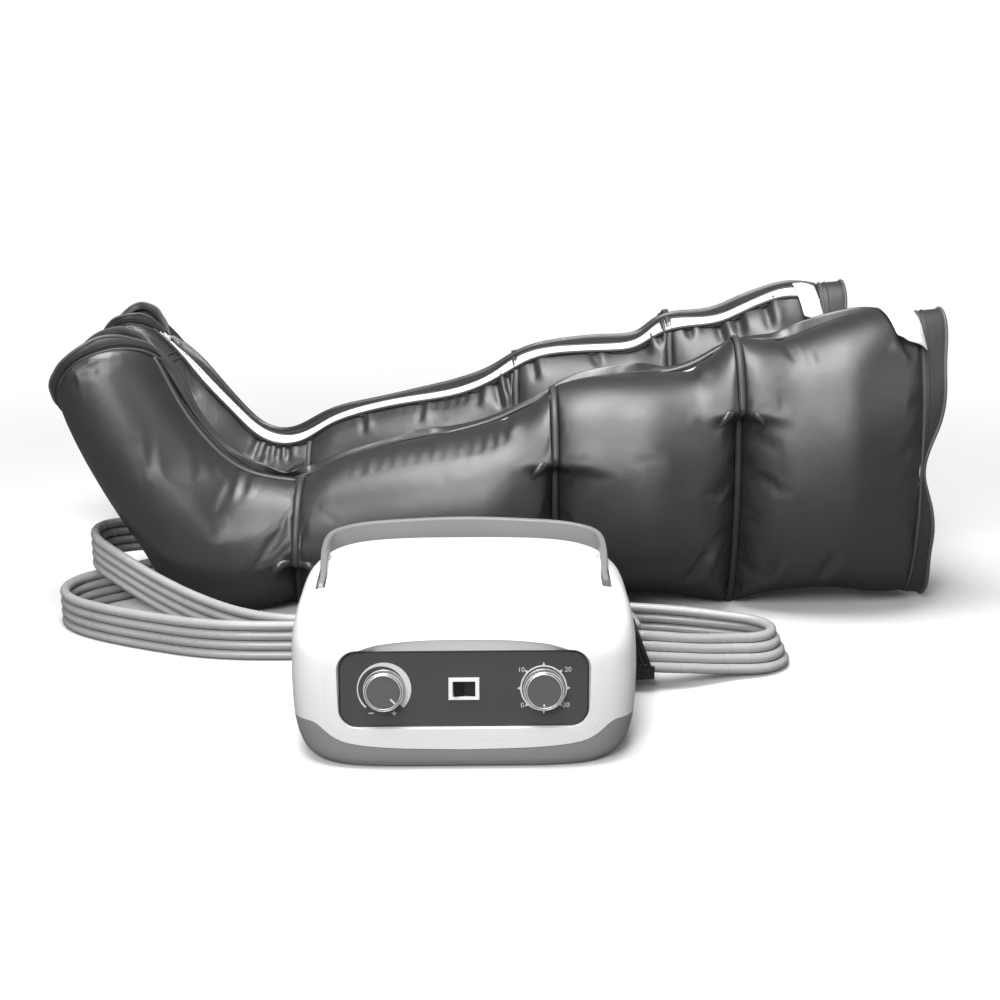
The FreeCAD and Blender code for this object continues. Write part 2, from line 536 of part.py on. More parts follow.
def electrics():
    """Board, transformer, regulator, timer movement, mains inlet and fuse holder."""
    board = box(-36, -66, 12, 44, -22, 13.6)
    parts = [box(24, -58, 13.6, 36, -46, 24), cylinder(V(12, -52, 13.6), Z_AXIS, 5, 16),
             box(-4, -36, 13.6, 4, -30, 17), cylinder(V(20, -34, 13.6), Z_AXIS, 4, 12)]
    board = join([board] + parts)
    core = box(-32, -58, 13.8, -8, -30, 38)
    winding = box(-29, -62, 17, -11, -26, 35)
    transformer = join([core, winding])
    regulator = join([cylinder(V(0, 0, -30), Z_AXIS, 13, 22), cylinder(V(0, 0, -8), Z_AXIS, 7, 8 - PANEL_T),
                      cylinder(V(0, 0, -24), X_AXIS, 3, 22)])
    regulator = on_panel(regulator.cut(cylinder(V(0, 0, -20), Z_AXIS, SHAFT_R + 0.06, 40)), -KNOB_X)
    movement = join([box(-20, -20, -34, 20, 20, -8), cylinder(V(0, 0, -8), Z_AXIS, 7, 8 - PANEL_T)])
    movement = on_panel(movement.cut(cylinder(V(0, 0, -20), Z_AXIS, SHAFT_R + 0.06, 40)), KNOB_X)
    x, z = INLET_X, INLET_Z
    flange = box(x - 16.5, FLAT_Y, z - 15, x + 16.5, FLAT_Y + 3.2, z + 15)
    tub = box(x - 14, 80, z - 10.8, x + 14, FLAT_Y, z + 10.8)
    well = prism([V(x - 12, 83, z - 8), V(x + 12, 83, z - 8), V(x + 12, 83, z + 3.5), V(x + 7.5, 83, z + 8),
                  V(x - 7.5, 83, z + 8), V(x - 12, 83, z + 3.5)], V(0, 30, 0))
    pins = [box(x + dx - 1, 74, z + dz - 2, x + dx + 1, 98.5, z + dz + 2) for dx, dz in ((-7, -2), (7, -2), (0, 2))]
    inlet = join([join([flange, tub]).cut(well)] + pins)
    fuse = join([cylinder(V(FUSE_X, 78, z), Y_AXIS, 5.8, FLAT_Y - 78), cylinder(V(FUSE_X, FLAT_Y, z), Y_AXIS, 8.5, 4)])
    fuse = fuse.cut(box(FUSE_X - 6, FLAT_Y + 2.8, z - 0.7, FUSE_X + 6, 112, z + 0.7))
    return board, transformer, regulator, movement, inlet, fuse


def casing_screws():
    """Four screws from below into the cover's pillars."""
    screws = []
    for x in (-96, 96):
        for y in (-70, 70):
            screws.append(join([cylinder(V(x, y, SKID_HEIGHT + 0.2), Z_AXIS, 3.8, 2.4),
                                cylinder(V(x, y, SKID_HEIGHT + 2), Z_AXIS, 1.5, 24)]))
    return Part.makeCompound(screws)


# ---- hose ribbons ------------------------------------------------------------------------
def ribbon_path(route):
    """Straight runs joined by tangent arcs as large as the runs allow; prints the radii."""
    points = [V(*p) for p in route]
    edges, radii, start = [], [], points[0]
    for before, here, after in zip(points, points[1:], points[2:]):
        run_in, run_out = here - before, after - here
        reach = ARC_SHARE * min(run_in.Length, run_out.Length)
        u, w = V(run_in).normalize(), V(run_out).normalize()
        turn = u.getAngle(w)
        arc_start, arc_end = here - u * reach, here + w * reach
        radius = reach / math.tan(turn / 2)
        radii.append(radius)
        bisector = (w - u).normalize()
        sagitta_point = here + bisector * (radius / math.cos(turn / 2) - radius)
        edges.append(Part.LineSegment(start, arc_start).toShape())
        edges.append(Part.Arc(arc_start, sagitta_point, arc_end).toShape())
        start = arc_end
    edges.append(Part.LineSegment(start, points[-1]).toShape())
    return Part.Wire(edges), radii


def hose_ribbon(name, route):
    """Four joined hoses on edge: a flat upright section along the route."""
    path, radii = ribbon_path(route)
    start, ahead = V(*route[0]), V(*route[1])
    along = V(ahead.x - start.x, ahead.y - start.y, 0).normalize()
    across = V(-along.y, along.x, 0) * (HOSE_D / 2)
    up = V(0, 0, RIBBON_H / 2)
    corners = [start + across - up, start - across - up, start - across + up, start + across + up]
    pipe = Part.BRepOffsetAPI.MakePipeShell(path)
    pipe.setBiNormalMode(Z_AXIS)
    pipe.add(Part.makePolygon(corners + [corners[0]]))
    pipe.build()
    pipe.makeSolid()
    solid = pipe.shape()
    expected = HOSE_D * RIBBON_H * path.Length
    print(f"{name}: length {path.Length:.0f} smallest radius {min(radii):.0f} volume ratio {solid.Volume / expected:.3f}")
    print("  radii", [round(r) for r in radii], "runs", [round((V(*b) - V(*a)).Length) for a, b in zip(route, route[1:])])
    return solid


# ---- leg sleeves -------------------------------------------------------------------------
class Sleeve:
    """Places the stations of one sleeve: the front one as drawn, the rear one a little shorter and apart."""

    def __init__(self, name, scale_x, shift_x, scale_z, y_at_zero, y_slope):
        self.name = name
        self.scale_x, self.shift_x, self.scale_z = scale_x, shift_x, scale_z
        self.y_at_zero, self.y_slope = y_at_zero, y_slope

    def point(self, x, z, across=0.0):
        px = self.shift_x + self.scale_x * x
        return V(px, self.y_at_zero + self.y_slope * px + across, self.scale_z * z)

    def ring(self, station, shrink=0.0, out=V(0, 0, 0)):
        """Polygon around the leg at a station, shrunk for the inside."""
        (bx, bz), (tx, tz), half = station
        bottom, top = self.point(bx + out.x, bz + out.z), self.point(tx + out.x, tz + out.z)
        centre, up = (bottom + top) / 2, (top - bottom) / 2
        tall = up.Length
        rise = V(up).normalize() * (tall - shrink * half)
        side = half * (1 - shrink)
        points = []
        for k in range(SECTION_POINTS):
            t = 2 * math.pi * k / SECTION_POINTS
            c, s = math.cos(t), math.sin(t)
            points.append(centre + V(0, math.copysign(abs(c) ** (2 / SECTION_POWER), c) * side, 0)
                          + rise * math.copysign(abs(s) ** (2 / SECTION_POWER), s))
        return Part.makePolygon(points + [points[0]])

    def chamber(self, stations):
        """Inflated ring around the leg, open through the middle."""
        outer = Part.makeLoft([self.ring(s) for s in stations], True, True)
        first, last = stations[0], stations[-1]
        bore = Part.makeLoft([self.ring(first, CHAMBER_WALL)] + [self.ring(s, CHAMBER_WALL) for s in stations[1:-1]]
                             + [self.ring(last, CHAMBER_WALL)], True, True)
        return outer.cut(bore)

    def hem(self, first, last, out_first=V(0, 0, 0), out_last=V(0, 0, 0)):
        """Thin open collar between two stations."""
        outer = Part.makeLoft([self.ring(first, 0, out_first), self.ring(last, 0, out_last)], True, True)
        inner = Part.makeLoft([self.ring(first, HEM_WALL / first[2], out_first),
                               self.ring(last, HEM_WALL / last[2], out_last)], True, True)
        return outer.cut(inner)

    def zip_tape(self, side):
        """Tape along the top of all four chambers, on the side that faces the other sleeve."""
        sections = []
        for station in FOOT + CALF + KNEE + THIGH:
            (bx, bz), (tx, tz), half = station
            top, bottom = self.point(tx, tz), self.point(bx, bz)
            up = (top - bottom).normalize()
            y0, y1 = sorted((side * 1.0, side * 15.0))
            low, high = up * 1.2, up * 3.6
            sections.append(Part.makePolygon([top + low + V(0, y0, 0), top + low + V(0, y1, 0),
                                              top + high + V(0, y1, 0), top + high + V(0, y0, 0),
                                              top + low + V(0, y0, 0)]))
        return Part.makeLoft(sections, True, True)

    def tab(self):
        """Webbing tab sewn over the top of the mouth."""
        top = self.point(398, 284)
        return box(top.x - 14, top.y - 30, top.z + 0.6, top.x + 16, top.y - 2, top.z + 2.4)

    def pull(self, side):
        """Zip slider with its pull at the toe end."""
        top = self.point(-290, 232)
        return box(top.x - 9, top.y + side * 8 - 4, top.z + 12, top.x + 9, top.y + side * 8 + 4, top.z + 16)

    def connector(self, x, y0, y1):
        """Hose connector welded into the ankle."""
        ankle = Part.makeLoft([self.ring(s) for s in FOOT], True, True)
        return biggest(box(x, y0, 0.5, x + 30, y1, 40).cut(ankle))


def main():
    os.makedirs(PARTS_DIR, exist_ok=True)
    tray, cover, frame = pump_casing()
    export("base_tray", tray)
    export("top_cover", cover)
    export("front_frame", frame)
    export("base_skid", base_skid())
    export("casing_screws", casing_screws())
    export("control_panel", control_panel())
    export("carry_handle", carry_handle())
    export("handle_pins", handle_pins())
    export("pressure_knob", on_panel(knob(-45), -KNOB_X))
    export("pressure_shaft", on_panel(shaft(18), -KNOB_X))
    export("pressure_scale_ring", on_panel(crescent_ring(), -KNOB_X))
    export("timer_knob", on_panel(knob(-90), KNOB_X))
    export("timer_shaft", on_panel(shaft(18), KNOB_X))
    export("timer_scale_ring", on_panel(tick_ring(), KNOB_X))
    export("switch_housing", switch_frame())
    export("power_rocker", power_rocker())
    names = ["compressor_frame", "compressor_coils", "compressor_heads", "compressor_armature", "compressor_mounts"]
    for name, shape in zip(names, compressor()):
        export(name, shape)
    for name, shape in zip(["distributor_body", "distributor_rotor", "distributor_motor"], distributor()):
        export(name, shape)
    export("outlet_manifold", outlet_manifold())
    names = ["control_board", "mains_transformer", "pressure_regulator", "timer_movement", "mains_inlet", "fuse_holder"]
    for name, shape in zip(names, electrics()):
        export(name, shape)
    export("hose_plug", hose_plug())
    export("hose_ribbon_front", hose_ribbon("hose_ribbon_front", FRONT_ROUTE))
    export("hose_ribbon_rear", hose_ribbon("hose_ribbon_rear", REAR_ROUTE))
    front = Sleeve("front", 1.0, 0.0, 1.0, 258.0, 0.03)
    rear = Sleeve("rear", 0.933, -28.7, 0.98, 475.0, -0.1)
    for sleeve, side, connector in ((front, 1, (-236, 297, 326)), (rear, -1, (-236, 433, 460))):
        for name, stations in (("foot", FOOT), ("calf", CALF), ("knee", KNEE), ("thigh", THIGH)):
            export(f"{sleeve.name}_{name}_chamber", sleeve.chamber(stations))
        toe = FOOT[0]
        export(f"{sleeve.name}_toe_hem", sleeve.hem(toe, toe, TOE_HEM_OUT * 0.05, TOE_HEM_OUT))
        export(f"{sleeve.name}_mouth_hem", sleeve.hem(*MOUTH_HEM))
        export(f"{sleeve.name}_zip_tape", sleeve.zip_tape(side))
        export(f"{sleeve.name}_zip_pull", sleeve.pull(side))
        export(f"{sleeve.name}_mouth_tab", sleeve.tab())
        export(f"{sleeve.name}_hose_connector", sleeve.connector(*connector))


main()
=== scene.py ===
"""Compression therapy set: pump, two hose ribbons and two inflated leg sleeves.

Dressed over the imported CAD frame. Metres, +Z up, +X to the pump's right as its user faces it, +Y to the back.
"""
import math

import bmesh
import bpy
import numpy as np
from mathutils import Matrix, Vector


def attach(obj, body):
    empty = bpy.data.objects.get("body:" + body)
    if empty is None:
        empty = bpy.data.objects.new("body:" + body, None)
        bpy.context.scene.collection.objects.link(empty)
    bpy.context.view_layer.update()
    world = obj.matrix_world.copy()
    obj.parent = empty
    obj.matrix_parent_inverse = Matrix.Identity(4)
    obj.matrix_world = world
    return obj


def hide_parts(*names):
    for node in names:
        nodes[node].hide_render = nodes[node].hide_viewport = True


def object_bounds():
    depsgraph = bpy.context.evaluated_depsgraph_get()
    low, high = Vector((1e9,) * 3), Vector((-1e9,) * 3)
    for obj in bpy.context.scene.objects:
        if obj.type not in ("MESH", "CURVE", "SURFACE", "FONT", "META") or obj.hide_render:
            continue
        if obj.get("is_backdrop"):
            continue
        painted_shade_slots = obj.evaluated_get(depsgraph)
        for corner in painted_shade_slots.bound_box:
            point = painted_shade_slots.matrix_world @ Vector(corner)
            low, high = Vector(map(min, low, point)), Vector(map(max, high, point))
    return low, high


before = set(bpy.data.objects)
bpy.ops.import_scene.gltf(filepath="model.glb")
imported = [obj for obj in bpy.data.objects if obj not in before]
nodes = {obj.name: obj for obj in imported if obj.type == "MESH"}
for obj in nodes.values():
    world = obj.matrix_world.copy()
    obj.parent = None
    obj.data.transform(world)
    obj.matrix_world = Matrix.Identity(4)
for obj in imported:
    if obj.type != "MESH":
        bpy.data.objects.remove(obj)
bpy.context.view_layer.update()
scene = bpy.context.scene
MM = 0.001
ROOT = "pump"


# ---- materials ---------------------------------------------------------------------------
# the share of a noise's range in which nearly all of its values lie
NOISE_LOW, NOISE_HIGH = 0.3, 0.7


def new_node(tree, kind, inputs=(), **settings):
    """Shader node; inputs holds values for its sockets, or the outputs that feed them."""
    made = tree.nodes.new("ShaderNode" + kind)
    for key, value in settings.items():
        setattr(made, key, value)
    for socket, value in dict(inputs).items():
        if isinstance(value, bpy.types.NodeSocket):
            tree.links.new(value, made.inputs[socket])
        else:
            made.inputs[socket].default_value = value
    return made


class Surface:
    """Principled material whose colour, roughness and relief come from noise in object space."""

    def __init__(self, name, color, rough, metallic=0.0, spec=0.5, sheen=0.0):
        self.material = bpy.data.materials.new(name)
        self.material.use_nodes = True
        self.tree = self.material.node_tree
        self.shader = self.tree.nodes["Principled BSDF"]
        self.coords = new_node(self.tree, "TexCoord").outputs
        self.color, self.rough, self.height = color, rough, None
        values = {"Base Color": (*color, 1), "Roughness": rough, "Metallic": metallic,
                  "Specular IOR Level": spec, "Sheen Weight": sheen, "Sheen Roughness": 0.45}
        for socket, value in values.items():
            self.shader.inputs[socket].default_value = value

    def node(self, kind, inputs=(), **settings):
        return new_node(self.tree, kind, inputs, **settings).outputs

    def feed(self, socket, value):
        self.tree.links.new(value, self.shader.inputs[socket])
        return self

    def noise(self, scale, detail=3.0, stretch=None):
        vector = self.coords["Object"]
        if stretch:
            vector = self.node("Mapping", {"Vector": vector, "Scale": stretch})["Vector"]
        inputs = {"Vector": vector, "Scale": scale, "Detail": detail, "Roughness": 0.55}
        return self.node("TexNoise", inputs)["Fac"]

    def scaled(self, value, low, high):
        return self.node("MapRange", {"Value": value, "From Min": NOISE_LOW, "From Max": NOISE_HIGH,
                                      "To Min": low, "To Max": high})["Result"]

    def tone(self, scale, amount, detail=3.0):
        """Colour that wanders a little around the plain one."""
        dark = tuple(c * (1 - amount) for c in self.color)
        light = tuple(min(1.0, c * (1 + amount)) for c in self.color)
        share = self.scaled(self.noise(scale, detail), 0, 1)
        return self.feed("Base Color", self.node("Mix", {0: share, 6: (*dark, 1), 7: (*light, 1)},
                                                 data_type="RGBA")[2])

    def gloss(self, scale, amount):
        """Roughness that wanders by amount."""
        value = self.scaled(self.noise(scale, 2.0), self.rough - amount, self.rough + amount)
        return self.feed("Roughness", value)

    def relief(self, value, distance):
        """Bump of that depth in metres, on top of what is there."""
        inputs = {"Height": value, "Distance": distance, "Strength": 1.0}
        if self.height is not None:
            inputs["Normal"] = self.height
        self.height = self.node("Bump", inputs)["Normal"]
        return self.feed("Normal", self.height)

    def grain(self, scale, distance, stretch=None, detail=2.0):
        return self.relief(self.noise(scale, detail, stretch), distance)

    def wave(self, scale, direction, source="UV"):
        return self.node("TexWave", {"Vector": self.coords[source], "Scale": scale, "Distortion": 0.0},
                         bands_direction=direction)["Fac"]

    def weave(self, threads, distance):
        """Plain weave on the piece's own UV map, which is in metres."""
        waves = {0: self.wave(threads, "X"), 1: self.wave(threads, "Y")}
        return self.relief(self.node("Math", waves, operation="MULTIPLY")[0], distance)


def plastic(name, color, rough, grain, grain_scale=2600):
    """Moulded plastic with an even grain."""
    return Surface(name, color, rough).tone(9, 0.02).gloss(30, 0.04).grain(grain_scale, grain)


def metal(name, grey, rough, tone, gloss):
    """Bare metal; tone and gloss say how finely and how far colour and roughness wander."""
    return Surface(name, (grey, grey, grey + 0.01), rough, metallic=1.0).tone(*tone).gloss(*gloss)


def fabric(name, color, rough, sheen, threads=900, wander=0.06, spec=0.5):
    """Woven cloth with small wrinkles; more threads make a finer weave."""
    surface = Surface(name, color, rough, spec=spec, sheen=sheen)
    surface.tone(22, wander, 4.0).gloss(45, 0.05)
    surface.weave(threads, 0.00003)
    return surface.grain(120, 0.0002, detail=3.0)


WHITE_ABS = plastic("white_abs", (0.84, 0.84, 0.845), 0.34, 0.000012, 1800)
GREY_ABS = plastic("grey_abs", (0.27, 0.27, 0.275), 0.42, 0.00004, 2400)
HANDLE_ABS = plastic("handle_abs", (0.23, 0.23, 0.235), 0.34, 0.00003, 2400)
PANEL_FILM = plastic("panel_film", (0.048, 0.048, 0.05), 0.42, 0.00003, 3000)
PANEL_FILM.grain(9000, 0.00001)
RUBBER = plastic("skid_rubber", (0.035, 0.035, 0.036), 0.72, 0.00006, 1500)
PRINT = plastic("ring_paint", (0.66, 0.66, 0.66), 0.4, 0.00001)
NUMERAL = plastic("numeral_ink", (0.62, 0.62, 0.62), 0.5, 0.00001)
BEZEL = plastic("bezel_plastic", (0.86, 0.86, 0.86), 0.3, 0.00001)
ROCKER = plastic("rocker_plastic", (0.006, 0.006, 0.006), 0.22, 0.00001)
BLACK = plastic("black_moulding", (0.016, 0.016, 0.017), 0.4, 0.00003)
HOSE = Surface("hose_pvc", (0.4, 0.4, 0.405), 0.28, spec=0.6).tone(14, 0.07, 4.0).gloss(40, 0.06)
HOSE.grain(500, 0.00008, detail=3.0)
# dark colour of the strips between the hoses: painted shade in the grooves where they join
HOSE_GROOVE_SHADE = plastic("hose_web", (0.05, 0.05, 0.052), 0.6, 0.00003)
KNOB = metal("turned_metal", 0.36, 0.3, (60, 0.05), (120, 0.06)).grain(1500, 0.00001, stretch=(1, 1, 6))
KNOB_FACE = Surface("knob_face", (0.115, 0.115, 0.12), 0.45, metallic=0.35).tone(80, 0.04).gloss(150, 0.05)
KNOB_FACE.grain(5000, 0.00001)
# pale colour of the rings on the knob edges: painted highlights where the rims catch the light
RIM_HIGHLIGHT = Surface("bright_edge", (0.72, 0.72, 0.72), 0.3, metallic=0.35).gloss(90, 0.04).tone(70, 0.02)
RIM_HIGHLIGHT.grain(2500, 0.000006)
STEEL = metal("zinc_steel", 0.5, 0.34, (40, 0.08), (120, 0.08)).grain(1800, 0.00002)
CAST = Surface("die_cast", (0.45, 0.45, 0.46), 0.5, metallic=1.0).tone(25, 0.08).grain(900, 0.00008)
COPPER = Surface("winding", (0.42, 0.16, 0.06), 0.38, metallic=0.9).tone(30, 0.12)
COPPER.relief(COPPER.wave(480, "Z", source="Object"), 0.0002)
IRON = Surface("laminated_iron", (0.12, 0.12, 0.13), 0.5, metallic=0.8).tone(30, 0.1)
IRON.relief(IRON.wave(300, "Z", source="Object"), 0.0002)
ACETAL = plastic("acetal", (0.62, 0.62, 0.6), 0.42, 0.00003)
BOARD = plastic("circuit_board", (0.02, 0.1, 0.045), 0.4, 0.00003)
NYLON = fabric("satin_nylon", (0.032, 0.032, 0.034), 0.38, 0.0, spec=1.0)
NYLON_IN = fabric("inner_nylon", (0.02, 0.02, 0.021), 0.6, 0.0)
BINDING = fabric("woven_binding", (0.035, 0.035, 0.037), 0.5, 0.1, 500)
PIPING = fabric("seam_piping", (0.1, 0.1, 0.104), 0.45, 0.1, 500)
# lighter colour of the welt above the gathers: painted light on the shallow, lit part of the seam
SEAM_PAINTED_LIT = fabric("seam_tape", (0.055, 0.055, 0.057), 0.45, 0.1, 500)
THREAD = fabric("sewing_thread", (0.02, 0.02, 0.021), 0.6, 0.2, 400)
WEBBING = fabric("white_webbing", (0.86, 0.86, 0.86), 0.7, 0.2, 350, 0.02)
ZIP_METAL = metal("zip_metal", 0.55, 0.25, (90, 0.1), (200, 0.08)).grain(2500, 0.00002)
ZIP_TEETH = plastic("zip_teeth", (0.78, 0.78, 0.78), 0.35, 0.00001)

# the CAD pieces that show as they are
for surface, names in (
        (HANDLE_ABS, "carry_handle"), (RUBBER, "base_skid compressor_mounts"), (PANEL_FILM, "control_panel"),
        (STEEL, "casing_screws handle_pins pressure_shaft timer_shaft distributor_motor"),
        (PRINT, "pressure_scale_ring timer_scale_ring"), (BEZEL, "switch_housing"), (ROCKER, "power_rocker"),
        (CAST, "compressor_frame compressor_heads"), (COPPER, "compressor_coils"),
        (IRON, "compressor_armature mains_transformer"), (BOARD, "control_board"),
        (ACETAL, "distributor_body distributor_rotor pressure_regulator timer_movement"),
        (BLACK, "outlet_manifold mains_inlet fuse_holder front_hose_connector rear_hose_connector")):
    for name in names.split():
        mesh = nodes[name].data
        mesh.materials.clear()
        mesh.materials.append(surface.material)


# ---- helpers -----------------------------------------------------------------------------
# height over the floor below which no piece reaches
LOWEST = 0.0003


def linked(name, data):
    """Object in the scene."""
    made = bpy.data.objects.new(name, data)
    scene.collection.objects.link(made)
    return made


def piece(name, points, faces, surfaces, slot, body=ROOT, smooth=True, replaces=(), uv=None, face_slots=None):
    """A mesh object that rides on a body."""
    mesh = bpy.data.meshes.new(name)
    mesh.from_pydata([(x, y, max(z, LOWEST)) for x, y, z in points], [], faces)
    for surface in surfaces if isinstance(surfaces, (list, tuple)) else [surfaces]:
        mesh.materials.append(surface.material)
    mesh.polygons.foreach_set("use_smooth", [smooth] * len(mesh.polygons))
    if face_slots is not None:
        mesh.polygons.foreach_set("material_index", face_slots)
    if uv is not None:
        layer = mesh.uv_layers.new(name="cloth")
        loops = np.empty(len(mesh.loops), np.int32)
        mesh.loops.foreach_get("vertex_index", loops)
        layer.data.foreach_set("uv", np.asarray(uv)[loops].ravel())
    mesh.update()
    made = linked(name, mesh)
    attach(made, body)
    if replaces:
        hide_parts(*replaces)
    return made


def recalc(made):
    """Face normals out."""
    work = bmesh.new()
    work.from_mesh(made.data)
    bmesh.ops.recalc_face_normals(work, faces=work.faces)
    work.to_mesh(made.data)
    work.free()


def solid(*place, **more):
    """A piece with its faces turned outward."""
    made = piece(*place, **more)
    recalc(made)
    return made


def subdivide(made):
    """Smooth the piece's form by one level."""
    modifier = made.modifiers.new("subdivision", "SUBSURF")
    modifier.levels = modifier.render_levels = 1


def thicken(made, thickness):
    """Give a sheet its thickness, half of it on each side."""
    modifier = made.modifiers.new("thickness", "SOLIDIFY")
    modifier.thickness, modifier.offset = thickness, 0


def unit(rows):
    """Directions of length one."""
    return rows / (np.linalg.norm(rows, axis=-1)[..., None] + 1e-12)


def distances(path):
    """Length of a line up to each of its points."""
    return np.concatenate([[0], np.cumsum(np.linalg.norm(np.diff(path, axis=0), axis=1))])


def read_at(marks, own, path):
    """Places at marks on a line whose points have marks of their own."""
    return np.stack([np.interp(marks, own, path[:, k]) for k in range(3)], 1)


def grid_faces(rows, columns, round_rows=False, round_columns=True):
    """Faces between rows of points; each row is a ring, unless it says otherwise."""
    faces = []
    for i in range(rows if round_rows else rows - 1):
        j = (i + 1) % rows
        for k in range(columns if round_columns else columns - 1):
            m = (k + 1) % columns
            faces.append((i * columns + k, j * columns + k, j * columns + m, i * columns + m))
    return faces


def capped(rows, columns):
    """Faces of a closed solid through rings of points."""
    last = tuple((rows - 1) * columns + k for k in range(columns))
    return grid_faces(rows, columns) + [tuple(range(columns)), last[::-1]]


def tube(path, radius, sides=10, closed=False, flat=1.0, up=(0, 0, 1)):
    """Points and faces of a tube along path; flat squashes it along its up direction."""
    path = np.asarray(path, float)
    count = len(path)
    tangents = unit(np.roll(path, -1, 0) - np.roll(path, 1, 0) if closed else np.gradient(path, axis=0))
    side = unit(np.cross(tangents, np.broadcast_to(np.asarray(up, float), tangents.shape)))
    lift = np.cross(side, tangents)
    radius = np.broadcast_to(np.asarray(radius, float), (count,))[:, None]
    points = [path + side * (math.cos(t) * radius) + lift * (math.sin(t) * radius * flat)
              for t in 2 * math.pi * np.arange(sides) / sides]
    faces = grid_faces(count, sides, round_rows=True) if closed else capped(count, sides)
    return np.stack(points, 1).reshape(-1, 3), faces


def joined(parts):
    """Several (points, faces) as one."""
    points, faces, start = [], [], 0
    for part_points, part_faces in parts:
        points.append(np.asarray(part_points, float))
        faces += [tuple(i + start for i in face) for face in part_faces]
        start += len(part_points)
    return np.concatenate(points), faces


def squarish(value, power):
    """Sine or cosine of a superellipse."""
    return np.sign(value) * np.abs(value) ** (2 / power)


def resampled(path, step):
    """The same line with points a step apart."""
    path = np.asarray(path, float)
    along = distances(path)
    return read_at(np.linspace(0, along[-1], max(2, int(round(along[-1] / step)) + 1)), along, path)


def spline_values(knots, values, where):
    """Monotone cubic through the values, so that nothing overshoots."""
    knots, values, where = np.asarray(knots, float), np.asarray(values, float), np.asarray(where, float)
    width = np.diff(knots)
    slope = np.diff(values) / width
    tangent = np.zeros(len(knots))
    tangent[0], tangent[-1] = slope[0], slope[-1]
    for i in range(1, len(knots) - 1):
        if slope[i - 1] * slope[i] > 0:
            a, b = 2 * width[i] + width[i - 1], width[i] + 2 * width[i - 1]
            tangent[i] = (a + b) / (a / slope[i - 1] + b / slope[i])
    index = np.clip(np.searchsorted(knots, where, side="right") - 1, 0, len(width) - 1)
    t = (where - knots[index]) / width[index]
    t2, t3 = t * t, t * t * t
    return ((2 * t3 - 3 * t2 + 1) * values[index] + (t3 - 2 * t2 + t) * width[index] * tangent[index]
            + (-2 * t3 + 3 * t2) * values[index + 1] + (t3 - t2) * width[index] * tangent[index + 1])


# ---- camera, floor and light -------------------------------------------------------------
camera = linked("camera", bpy.data.cameras.new("camera"))
camera.location = (0.0080, -1.1093, 0.490)
camera.rotation_euler = (math.radians(90 - 15.82), 0, math.radians(-1.03))
camera.data.lens, camera.data.sensor_width = 54.0, 36.0
camera.data.clip_start = 0.02
scene.camera = camera

FLOOR_SIZE = 12.0
# distances from the middle between which the floor fades to plain white for the camera
FADE_FROM, FADE_TO = 0.55, 1.5
WHITE = (1, 1, 1, 1)
ground = Surface("floor", (0.9, 0.9, 0.9), 0.7)
corners = [(x * FLOOR_SIZE, y * FLOOR_SIZE, 0) for x, y in ((-1, -1), (1, -1), (1, 1), (-1, 1))]
floor = piece("floor", corners, [(0, 1, 2, 3)], ground, "white_casing")
floor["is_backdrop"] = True


def white_to_camera(surface):
    """Away from the object the floor shows as plain white; near it, it takes shadows and reflects little."""
    paths = surface.node("LightPath")
    bounced = surface.node("Math", {0: paths["Is Diffuse Ray"], 1: paths["Is Glossy Ray"]},
                           operation="MAXIMUM")
    bounce = surface.node("Mix", {0: bounced[0], 6: (0.9, 0.9, 0.9, 1), 7: (0.14, 0.14, 0.14, 1)},
                          data_type="RGBA")
    surface.feed("Base Color", bounce[2])
    length = surface.node("VectorMath", {0: surface.coords["Object"]}, operation="LENGTH")
    fade = surface.node("MapRange", {"Value": length["Value"], "From Min": FADE_FROM, "From Max": FADE_TO,
                                     "To Min": 0.0, "To Max": 1.0}, interpolation_type="SMOOTHSTEP")
    seen = surface.node("Math", {0: fade["Result"], 1: paths["Is Camera Ray"]}, operation="MULTIPLY")
    glow = surface.node("Emission", {"Color": WHITE})
    mixed = surface.node("MixShader", {0: seen[0], 1: surface.shader.outputs[0], 2: glow[0]})
    surface.tree.links.new(mixed[0], surface.tree.nodes["Material Output"].inputs["Surface"])


white_to_camera(ground)

world = bpy.data.worlds.new("studio")
world.use_nodes = True
scene.world = world
air = world.node_tree
sky = air.nodes["Background"]
sky.inputs["Color"].default_value = WHITE
sky.inputs["Strength"].default_value = 0.12
bright = new_node(air, "Background", {"Color": WHITE, "Strength": 1.0})
rays = new_node(air, "LightPath").outputs
either = new_node(air, "Math", {0: rays["Is Camera Ray"], 1: rays["Is Transmission Ray"]},
                  operation="MAXIMUM")
blend = new_node(air, "MixShader", {0: either.outputs[0], 1: sky.outputs[0], 2: bright.outputs[0]})
air.links.new(blend.outputs[0], air.nodes["World Output"].inputs["Surface"])


def lamp(name, place, target, size, power):
    light = bpy.data.lights.new(name, "AREA")
    light.size, light.energy = size, power
    made = linked(name, light)
    made.location = place
    made.rotation_euler = (Vector(target) - Vector(place)).to_track_quat("-Z", "Y").to_euler()


lamp("top_light", (-0.15, -0.05, 1.7), (0.0, 0.2, 0), 1.0, 38)
lamp("front_light", (-0.5, -1.7, 1.35), (0, 0.0, 0.05), 0.8, 31)
lamp("fill_light", (0.1, -1.6, 0.3), (0, 0, 0.05), 1.0, 4.5)
lamp("side_light", (1.6, -0.5, 0.9), (0, 0.2, 0.1), 0.8, 4)

scene.view_settings.view_transform = "Standard"

# ---- casing, plug and knobs -----------------------------------------------------------------
TILT = math.radians(8)
PANEL = np.array([0, -97.5, 61.0])
PANEL_UP = np.array([0, math.sin(TILT), math.cos(TILT)])
PANEL_OUT = np.array([0, -math.cos(TILT), math.sin(TILT)])
PANEL_W, PANEL_H, PANEL_R = 181.5, 55.8, 13.0
BROW = 82.0
KNOB_X, KNOB_R, KNOB_H, KNOB_SIDES = 58.0, 15.0, 10.5, 72
CASING_ROWS, CASING_AROUND = 97, 176
